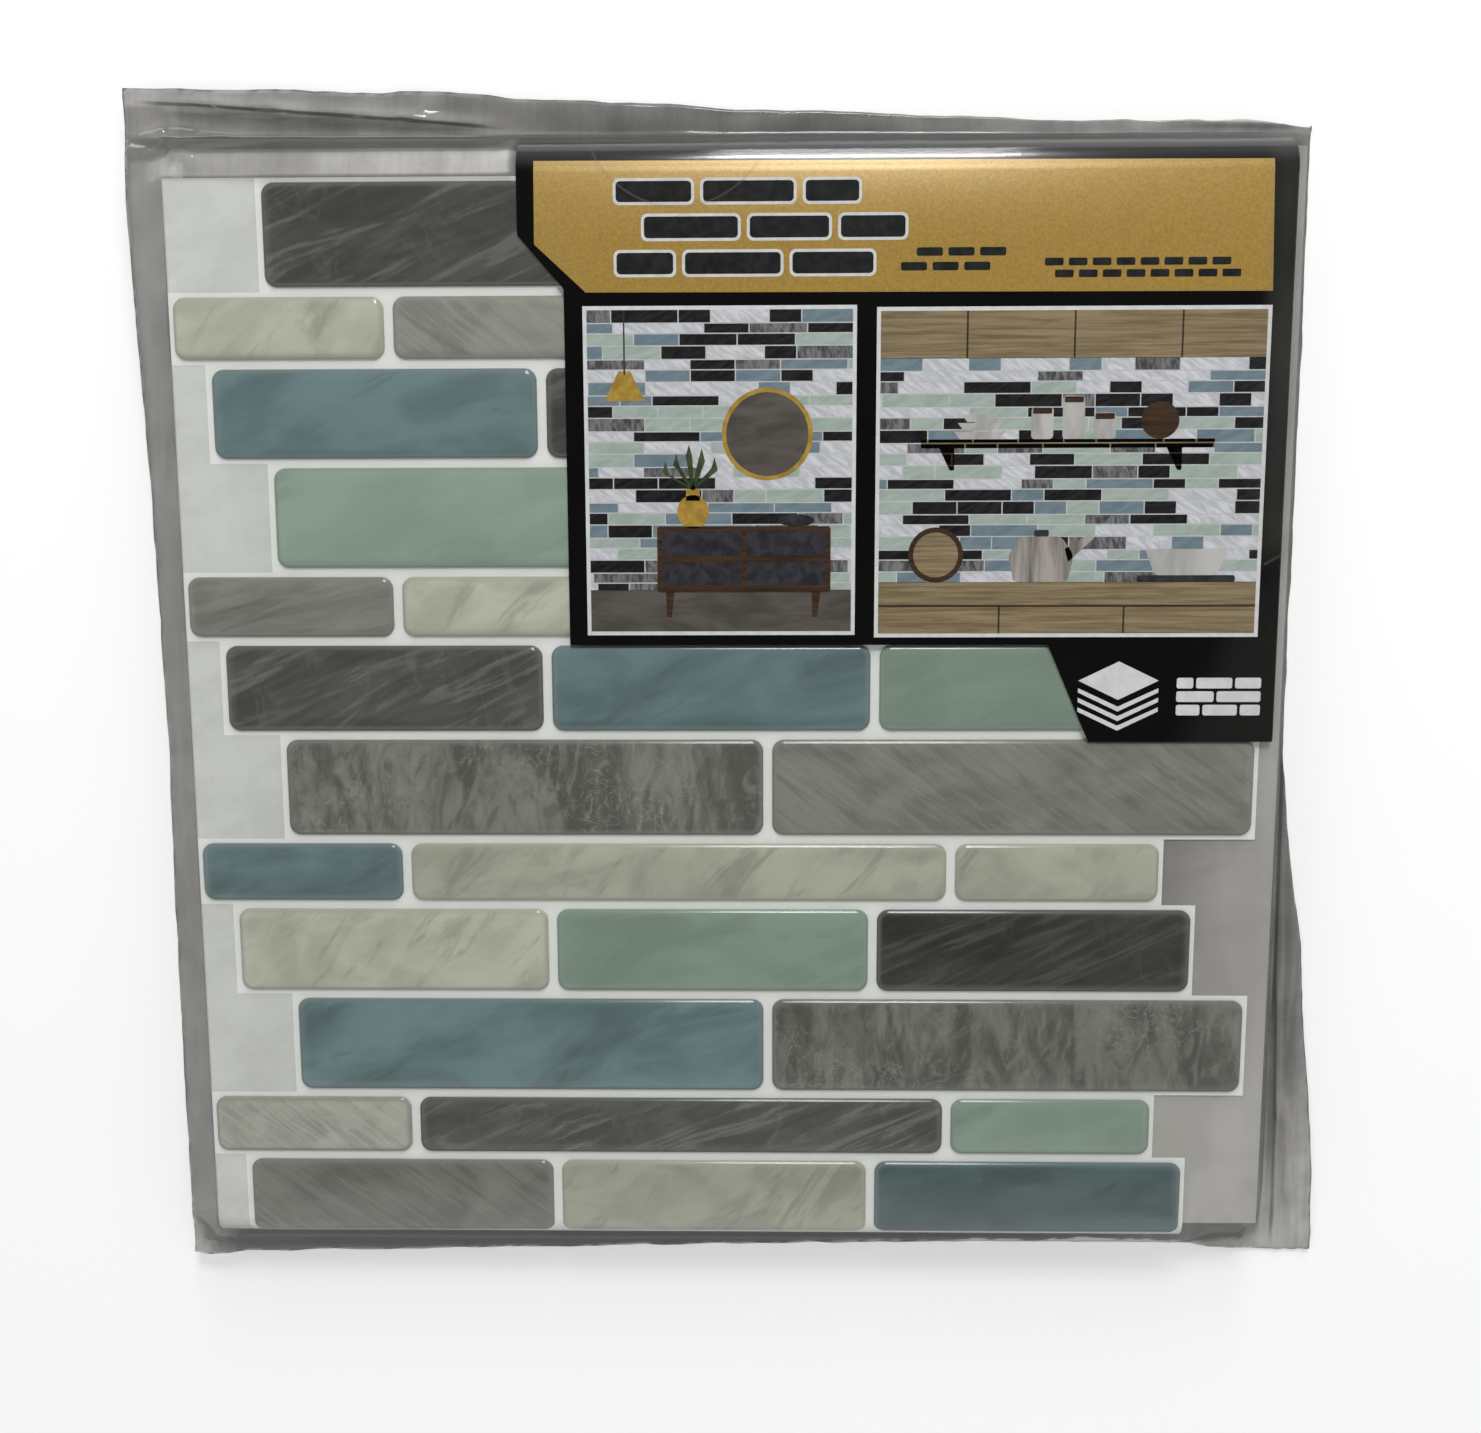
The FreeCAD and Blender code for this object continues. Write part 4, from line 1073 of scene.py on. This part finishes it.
def stretched_over(x, y, support, fixed, start, rounds=700):
    """Heights of a taut film that lies on its support and is held where it is fixed."""
    heights = start.copy()
    inner = (slice(1, -1), slice(1, -1))
    gap_west = np.hypot(x[1:-1, 1:-1] - x[:-2, 1:-1], y[1:-1, 1:-1] - y[:-2, 1:-1]) + 1e-6
    gap_east = np.hypot(x[2:, 1:-1] - x[1:-1, 1:-1], y[2:, 1:-1] - y[1:-1, 1:-1]) + 1e-6
    gap_south = np.hypot(x[1:-1, 1:-1] - x[1:-1, :-2], y[1:-1, 1:-1] - y[1:-1, :-2]) + 1e-6
    gap_north = np.hypot(x[1:-1, 2:] - x[1:-1, 1:-1], y[1:-1, 2:] - y[1:-1, 1:-1]) + 1e-6
    west = 1 / (gap_west * (gap_west + gap_east))
    east = 1 / (gap_east * (gap_west + gap_east))
    south = 1 / (gap_south * (gap_south + gap_north))
    north = 1 / (gap_north * (gap_south + gap_north))
    total = west + east + south + north
    free = ~fixed[inner]
    parity = (np.add.outer(np.arange(x.shape[0] - 2), np.arange(x.shape[1] - 2)) % 2).astype(bool)
    for _round in range(rounds):
        for colour in (parity, ~parity):
            level = (west * heights[:-2, 1:-1] + east * heights[2:, 1:-1] + south * heights[1:-1, :-2]
                     + north * heights[1:-1, 2:]) / total
            old = heights[inner]
            relaxed = np.maximum(old + 1.6 * (level - old), support[inner])
            heights[inner] = np.where(free & colour, relaxed, old)
    return heights


# Raised lines of the film: start, end, width and height in millimetres.
MARGIN_CREASES = (((-14, 329.2), (90, 322.0), 1.5, 2.2), ((20, 331), (36, 321), 1.2, 1.0),
                  ((60, 322), (74, 330), 1.3, 1.0), ((-11.6, 319.5), (-3.8, 321.9), 0.9, 1.4),
                  ((-3.8, 321.9), (18.7, 319.7), 0.9, 1.4), ((272, 322.5), (314, 321.0), 1.2, 1.5),
                  ((325.5, -10), (319.5, 40), 1.6, 2.6), ((316.6, 75), (318.9, -10), 1.0, 1.6))
ROOF_CREASES = (((-13, -10), (14, 16), 1.3, 1.6), ((-15, 6), (4, 14), 1.1, 1.3),
                ((-12, -4), (2, -1), 1.0, 1.5), ((2, -10), (9, 8), 1.1, 1.2),
                ((-4, -10.5), (-1, -2), 0.9, 1.4), ((314, -10), (296, 10), 1.3, 1.6),
                ((300, -10), (290, 5), 1.1, 1.1), ((308, -10), (306, 0), 0.9, 1.3),
                ((-15, 330), (10, 306), 1.6, 1.8), ((-12, 313), (40, 318), 1.1, 1.2),
                ((-14.5, 113.6), (-2, 118.7), 0.9, 1.0), ((-14.5, 189.5), (-5, 187.5), 0.9, 0.9),
                ((306.5, 132), (314, 136), 0.9, 1.0))


def creased(x, y, creases):
    """The height that a set of creases adds."""
    made = np.zeros_like(x)
    for start, end, width, height in creases:
        run = np.array(end) - np.array(start)
        length = np.hypot(*run)
        across = ((x - start[0]) * -run[1] + (y - start[1]) * run[0]) / length
        share = ((x - start[0]) * run[0] + (y - start[1]) * run[1]) / length ** 2
        fade = np.clip(np.minimum(share, 1 - share) * 6, 0, 1)
        made += height * fade * np.exp(-(across / width) ** 2)
    return made


def smooth_step(value, low, high):
    """0 below low, 1 above high and smooth between."""
    share = np.clip((value - low) / (high - low), 0, 1)
    return share * share * (3 - 2 * share)


def over_card(x):
    """1 across the card's fold and 0 beside it."""
    return smooth_step(x, 95.5, 96.5) * smooth_step(-x, -306.5, -305.5)


class PACK_OT_film_sleeve(bpy.types.Operator):
    """Drape the clear film over the stack and lay its seal and its side flap on the floor"""

    bl_idname = "tile_pack.film_sleeve"
    bl_label = "Film sleeve"

    def execute(self, context):
        film = context.scene.pack_film
        x, y = self.stations()
        points = np.stack([x, y], axis=-1)
        edge, margin_height = self.margins(x, y, points)
        support = widened(support_height(x, y, film.clearance / MM))
        welded = (y > SEAL) | (x > WALL_RIGHT + 0.05)
        fixed = welded.copy()
        fixed[0, :] = fixed[-1, :] = True
        fixed[:, 0] = fixed[:, -1] = True
        lower = margin_height * edge
        start = np.where(fixed, margin_height, np.maximum(support, 20.4))
        upper = stretched_over(x, y, support, fixed, start)
        inside = ~fixed
        wrinkles = self.wrinkles(x, y, points, support, film.wrinkle / MM)
        upper = np.where(inside, upper + wrinkles, upper)
        upper = np.where(welded, lower + 0.12, upper)
        upper = np.minimum(np.maximum(upper, lower + 0.02), FILM_TOP - 0.05)
        upper[0, :] = lower[0, :]
        upper[-1, :] = lower[-1, :]
        upper[:, 0] = lower[:, 0]
        upper[:, -1] = lower[:, -1]
        haze, shade, low_haze, low_shade = self.looks(x, y, points, film)
        shape = bmesh.new()
        columns, rows = x.shape
        bmesh.ops.create_grid(shape, x_segments=columns - 1, y_segments=rows - 1, size=1)
        haze_layer = shape.verts.layers.float.new("haze")
        shade_layer = shape.verts.layers.float.new("shade")
        grid = list(shape.verts) + list(shape.edges) + list(shape.faces)
        copy = bmesh.ops.duplicate(shape, geom=grid)["geom"]
        copied_verts = {item for item in copy if isinstance(item, bmesh.types.BMVert)}
        copied_faces = [item for item in copy if isinstance(item, bmesh.types.BMFace)]
        bmesh.ops.reverse_faces(shape, faces=copied_faces)
        rim = []
        for vert in shape.verts:
            column = round((vert.co.x + 1) / 2 * (columns - 1))
            row = round((vert.co.y + 1) / 2 * (rows - 1))
            under = vert in copied_verts
            height = (lower if under else upper)[column, row]
            vert.co = (x[column, row], y[column, row], height)
            vert[haze_layer] = (low_haze if under else haze)[column, row]
            vert[shade_layer] = (low_shade if under else shade)[column, row]
            if column in (0, columns - 1) or row in (0, rows - 1):
                rim.append(vert)
        bmesh.ops.remove_doubles(shape, verts=rim, dist=1e-4)
        piece = new_piece(shape, "draped_film_sleeve", [film_material()],
                          ["clear_film_sleeve"])
        piece.data.shade_smooth()
        return {"FINISHED"}

    def stations(self):
        """The film's grid seen from above, denser where it falls to the floor."""
        row_counts, column_counts = (12, 7, 112, 18, 10), (15, 2, 114, 14, 14)
        rows = sections(np.array([FILM_LOW, -1.0, 7.5, 303.0, SEAL, FILM_HIGH]), row_counts)
        columns = sections(np.array([FILM_LEFT, -0.6, 0.6, 305.0, WALL_RIGHT, FILM_RIGHT]), column_counts)
        low = np.maximum(frayed(LOW_EDGE, columns, 0.5, 14, 1.0), FILM_LOW + 0.05)
        high = np.clip(frayed(HIGH_EDGE, columns, 0.7, 17, 2.0), SEAL + 0.5, FILM_HIGH - 0.05)
        y = sections([low, np.full_like(low, -1.0), np.full_like(low, 7.5), np.full_like(low, 303.0),
                      np.full_like(low, SEAL), high], row_counts).T
        left = np.maximum(frayed(LEFT_EDGE, rows, 0.35, 11, 3.0), FILM_LEFT + 0.05)
        right = np.clip(frayed(RIGHT_EDGE, rows, 0.4, 13, 4.0), WALL_RIGHT + 0.2, FILM_RIGHT - 0.05)
        x = sections([left, np.full_like(left, -0.6), np.full_like(left, 0.6), np.full_like(left, 305.0),
                      np.full_like(left, WALL_RIGHT), right], column_counts)
        return x, y

    def margins(self, x, y, points):
        """How far out a point lies, from 0 at the stack to 1 at the sleeve's edge, and the edge's height."""
        left = np.clip((-0.6 - x) / 14, 0, 1)
        low = np.clip((-1.0 - y) / 8.5, 0, 1)
        high = np.clip((y - 315.5) / (SEAL - 315.5), 0, 1)
        right = np.clip((x - 311.5) / 3.1, 0, 1)
        edge = np.max([left, low, high, right], axis=0)
        weights = np.stack([left, low, high, right]) ** 3 + 1e-6
        heights = np.stack([along(LEFT_EDGE, 2, y), along(LOW_EDGE, 2, x), along(HIGH_EDGE, 2, x),
                            along(RIGHT_EDGE, 2, y)])
        height = (weights * heights).sum(axis=0) / weights.sum(axis=0)
        folds = ripple(points, 22, 3.0, (0.5, 2.4)) * np.clip((y - 316) / 5, 0, 1)
        streaks = ripple(points, 7, 5.0, (1.6, 0.10)) * np.clip((x - WALL_RIGHT) / 4, 0, 1)
        height = height + 1.1 * np.abs(folds) + 1.6 * np.abs(streaks) + creased(x, y, MARGIN_CREASES)
        return edge, height

    def wrinkles(self, x, y, points, support, size):
        """Wrinkles of the free film: soft on the roof, and sharper down the slopes and in the corners."""
        free = smooth_step(20.3 - support, 0.0, 8.0)
        slope = np.abs(ripple(points, 9, 8.0, (1.0, 0.25))) + np.abs(ripple(points, 9, 12.0, (0.25, 1.0)))
        roof = np.abs(ripple(points, 45, 17.0)) * 0.5
        free = free * (1 - 0.93 * over_card(x) * smooth_step(y, 303, 305) * smooth_step(-y, -317, -315))
        return size * (free * slope * 2.2 + roof * 0.35) + creased(x, y, ROOF_CREASES)

    def looks(self, x, y, points, film):
        """Haze and shade of the upper and the lower film at each point."""
        grain = ripple(points, 30, 21.0)
        bands = ripple(points, 9, 33.0, (1.0, 0.05))
        cross_bands = ripple(points, 8, 37.0, (0.06, 1.0))
        left = smooth_step(-x, -0.4, 0.4)
        low = smooth_step(-y, -1.6, -0.4)
        sheet_top = smooth_step(y, 304.4, 305.2) * smooth_step(96.0 - x, -0.5, 0.5)
        sheet_top = sheet_top * smooth_step(x, -9.0, -1.0)
        high = np.maximum(smooth_step(y, 310.6, 312.4) * (1 - over_card(x)), smooth_step(y, 315.2, 316.2))
        right = smooth_step(x, 307.9, 309.5)
        flange = smooth_step(y, SEAL - 0.6, SEAL + 0.6)
        flap = smooth_step(x, WALL_RIGHT - 1, WALL_RIGHT + 1)
        outside = np.max([left, low, high, right], axis=0)
        glare = smooth_step(x, 296, 302) * smooth_step(y, 196, 208)
        tab_glare = 0.35 * smooth_step(x - 286.0 - (y - 178.0) * 0.45, 0, 12) * smooth_step(-y, -236, -215)
        haze = film.roof_haze * (1 + 0.5 * grain) + 0.095 * np.maximum(glare, tab_glare)
        haze = haze + (0.42 - haze) * outside
        haze = haze + (0.55 - haze) * sheet_top * (1 - high)
        haze = haze + (0.62 - haze) * np.maximum(flange, flap)
        shade = 0.32 + 0.07 * grain
        edge_dark = smooth_step(-x, 12.0, 15.0)
        shade = shade + (0.46 + 0.10 * bands - 0.34 * edge_dark - shade) * left
        # Painted shadow: darkest right under the sheet's foot, paler outward.
        shade = shade + (0.06 + 0.15 * smooth_step(-y, 4, 10) + 0.05 * bands - shade) * low
        # Painted glare: the light band grows paler towards the card.
        glare_towards_card = smooth_step(x, 20, 92)
        shade = shade + (0.66 + 0.35 * glare_towards_card + (0.08 + 0.25 * glare_towards_card) * cross_bands - shade) * sheet_top
        # Painted shade on the film's slope past the stack's top end.
        shade = shade + (0.17 + 0.06 * cross_bands - shade) * high
        shade = shade + (0.30 + 0.16 * bands - shade) * right
        above_fold = y - (327.6 - (x + 14.6) * 0.0697)
        over_fold = smooth_step(above_fold, -0.4, 0.4) * smooth_step(120 - x, 0, 50)
        strip = 0.30 - 0.07 * smooth_step(x, 90, 130) + 0.07 * bands + 0.06 * cross_bands
        strip = strip + over_fold * (0.06 + 0.26 * np.exp(-np.abs(above_fold) / 1.6))
        strip = strip + 0.22 * smooth_step(x, 180, 240) + 0.06 * smooth_step(60 - x, 0, 40)
        strip = strip + 0.42 * smooth_step(x, 268, 285) * smooth_step(y, 320.4, 321.4)
        shade = shade + (strip - shade) * flange
        loose = 0.28 + 0.32 * smooth_step(70 - y, 0, 70) + 0.11 * bands
        shade = shade + (loose - shade) * flap
        corners = np.maximum(smooth_step(-x - y, 8, 16),
                             smooth_step(x, 262, 285) * smooth_step(-y, 2.5, 6.5))
        shade = shade + (0.58 + 0.3 * grain + 0.12 * bands - shade) * corners
        low_haze = 0.06 + (film.margin_haze - 0.06) * outside
        # The lower film is painted darker along the bottom margin too, painted shadow.
        low_shade = 0.21 + 0.20 * left - 0.1 * low + 0.22 * flap * smooth_step(70 - y, 0, 70)
        low_shade = low_shade + 0.25 * smooth_step(x, 262, 285) * low
        return haze, shade, low_haze, low_shade


# Stage.


# Each lamp: name, place, target and size in metres, and its share of a power setting.
LAMPS = (
    ("key_lamp", (0.11, 1.0, 1.0), (0.0, 0.05, 0.0), (0.34, 0.3), "key_power", 1.0),
    ("fold_lamp", (0.10, 1.05, 0.5), (0.0, 0.1, 0.0), (0.28, 0.35), "key_power", 0.42),
    ("left_lamp", (-1.1, 0.0, 0.95), (0.0, 0.0, 0.0), (1.9, 1.0), "side_power", 1.0),
    ("right_lamp", (1.1, 0.0, 0.95), (0.0, 0.0, 0.0), (1.9, 1.0), "side_power", 1.0),
    ("front_lamp", (0.0, -1.1, 0.9), (0.0, 0.0, 0.0), (1.9, 1.0), "side_power", 1.35),
)
# The camera's place in metres, its turn in degrees, and its lens and sensor in millimetres.
CAMERA_PLACE = (0.00536, 0.0512, 0.4188)
CAMERA_TURN = (-7.75, 0.98, -0.16)
CAMERA_LENS, CAMERA_SENSOR = 34.76, 36.0


class PACK_OT_stage(bpy.types.Operator):
    """Set the floor, the lamps and the camera"""

    bl_idname = "tile_pack.stage"
    bl_label = "Stage"

    def execute(self, context):
        stage = context.scene.pack_stage
        self.floor(context, stage)
        self.sky(context, stage)
        for name, place, target, size, setting, share in LAMPS:
            self.lamp(context, name, place, target, size, getattr(stage, setting) * share)
        data = bpy.data.cameras.new("camera")
        data.lens, data.sensor_width = CAMERA_LENS, CAMERA_SENSOR
        data.clip_start, data.clip_end = 0.01, 50.0
        camera = bpy.data.objects.new("camera", data)
        camera.location = CAMERA_PLACE
        camera.rotation_euler = [math.radians(turn) for turn in CAMERA_TURN]
        context.scene.collection.objects.link(camera)
        context.scene.camera = camera
        context.scene.view_settings.view_transform = "Standard"
        return {"FINISHED"}

    def floor(self, context, stage):
        """A pale matt floor that looks white and keeps the pack's shadow."""
        shape = bmesh.new()
        bmesh.ops.create_grid(shape, x_segments=8, y_segments=8, size=4.0)
        bmesh.ops.translate(shape, vec=(0, 0, -0.0003), verts=shape.verts)
        mesh = bpy.data.meshes.new("floor")
        shape.to_mesh(mesh)
        shape.free()
        floor = bpy.data.objects.new("floor", mesh)
        context.scene.collection.objects.link(floor)
        material, tree = new_material("pale_floor")
        mottle = noise_at(tree, laid_place(tree, (0.17, 0.17, 0.17)), 1.0, 2.0)
        ground = mix_colour(tree, mottle, [c * 0.98 for c in stage.floor], list(stage.floor))
        matt = add_node(tree, "ShaderNodeBsdfDiffuse", {"Color": ground}).outputs[0]
        rays = add_node(tree, "ShaderNodeLightPath").outputs
        seen = calculate(tree, "MAXIMUM", rays["Is Camera Ray"], rays["Is Glossy Ray"])
        seen = calculate(tree, "MAXIMUM", seen, rays["Is Transmission Ray"])
        glow = add_node(tree, "ShaderNodeEmission",
                        {"Color": colour4((1, 1, 1)), "Strength": calculate(tree, "MULTIPLY", seen, 0.32)})
        show(tree, add_node(tree, "ShaderNodeAddShader", {0: matt, 1: glow.outputs[0]}).outputs[0])
        mesh.materials.append(material)

    def sky(self, context, stage):
        """A soft sky, bright round the horizon and dim overhead, so that flat gloss stays deep."""
        world = bpy.data.worlds.new("soft_sky")
        world.use_nodes = True
        tree = world.node_tree
        tree.nodes.clear()
        direction = add_node(tree, "ShaderNodeTexCoord").outputs["Generated"]
        height = add_node(tree, "ShaderNodeSeparateXYZ", {0: direction}).outputs["Z"]
        level = remap(tree, height, 0.52, 0.78, stage.sky, 0.02)
        rays = add_node(tree, "ShaderNodeLightPath").outputs
        level = calculate(tree, "MAXIMUM", level, rays["Is Camera Ray"])
        background = add_node(tree, "ShaderNodeBackground", {"Color": colour4((1, 1, 1)), "Strength": level})
        add_node(tree, "ShaderNodeOutputWorld", {"Surface": background.outputs[0]})
        context.scene.world = world

    def lamp(self, context, name, place, target, size, power):
        """A rectangular lamp that faces its target."""
        data = bpy.data.lights.new(name, "AREA")
        data.shape, data.size, data.size_y = "RECTANGLE", *size
        data.energy = power
        lamp = bpy.data.objects.new(name, data)
        lamp.location = place
        lamp.rotation_euler = (Vector(place) - Vector(target)).to_track_quat("Z", "Y").to_euler()
        context.scene.collection.objects.link(lamp)


# Add-on.

OPERATORS = (PACK_OT_sheet_materials, PACK_OT_gel_tiles, PACK_OT_packed_sheets, PACK_OT_header_card,
             PACK_OT_gold_panel, PACK_OT_room_pictures, PACK_OT_film_sleeve, PACK_OT_stage)


class PACK_PT_panel(bpy.types.Panel):
    """Lists the pieces of the pack and their settings"""

    bl_label = "Tile pack"
    bl_idname = "PACK_PT_panel"
    bl_space_type = "VIEW_3D"
    bl_region_type = "UI"
    bl_category = "Tile pack"

    def draw(self, context):
        for operator in OPERATORS:
            self.layout.operator(operator.bl_idname)
        for name, group in SETTINGS.items():
            box = self.layout.box()
            for key in group.__annotations__:
                box.prop(getattr(context.scene, name), key)


CLASSES = (*SETTINGS.values(), *OPERATORS, PACK_PT_panel)


def register():
    for item in CLASSES:
        bpy.utils.register_class(item)
    for name, group in SETTINGS.items():
        setattr(bpy.types.Scene, name, bpy.props.PointerProperty(type=group))


def unregister():
    for name in SETTINGS:
        delattr(bpy.types.Scene, name)
    for item in reversed(CLASSES):
        bpy.utils.unregister_class(item)


def main():
    """Make every piece in order."""
    register()
    bpy.ops.tile_pack.stage()
    bpy.ops.tile_pack.sheet_materials()
    bpy.ops.tile_pack.gel_tiles()
    bpy.ops.tile_pack.packed_sheets()
    bpy.ops.tile_pack.header_card()
    bpy.ops.tile_pack.gold_panel()
    bpy.ops.tile_pack.room_pictures()
    bpy.ops.tile_pack.film_sleeve()


if __name__ == "__main__":
    main()
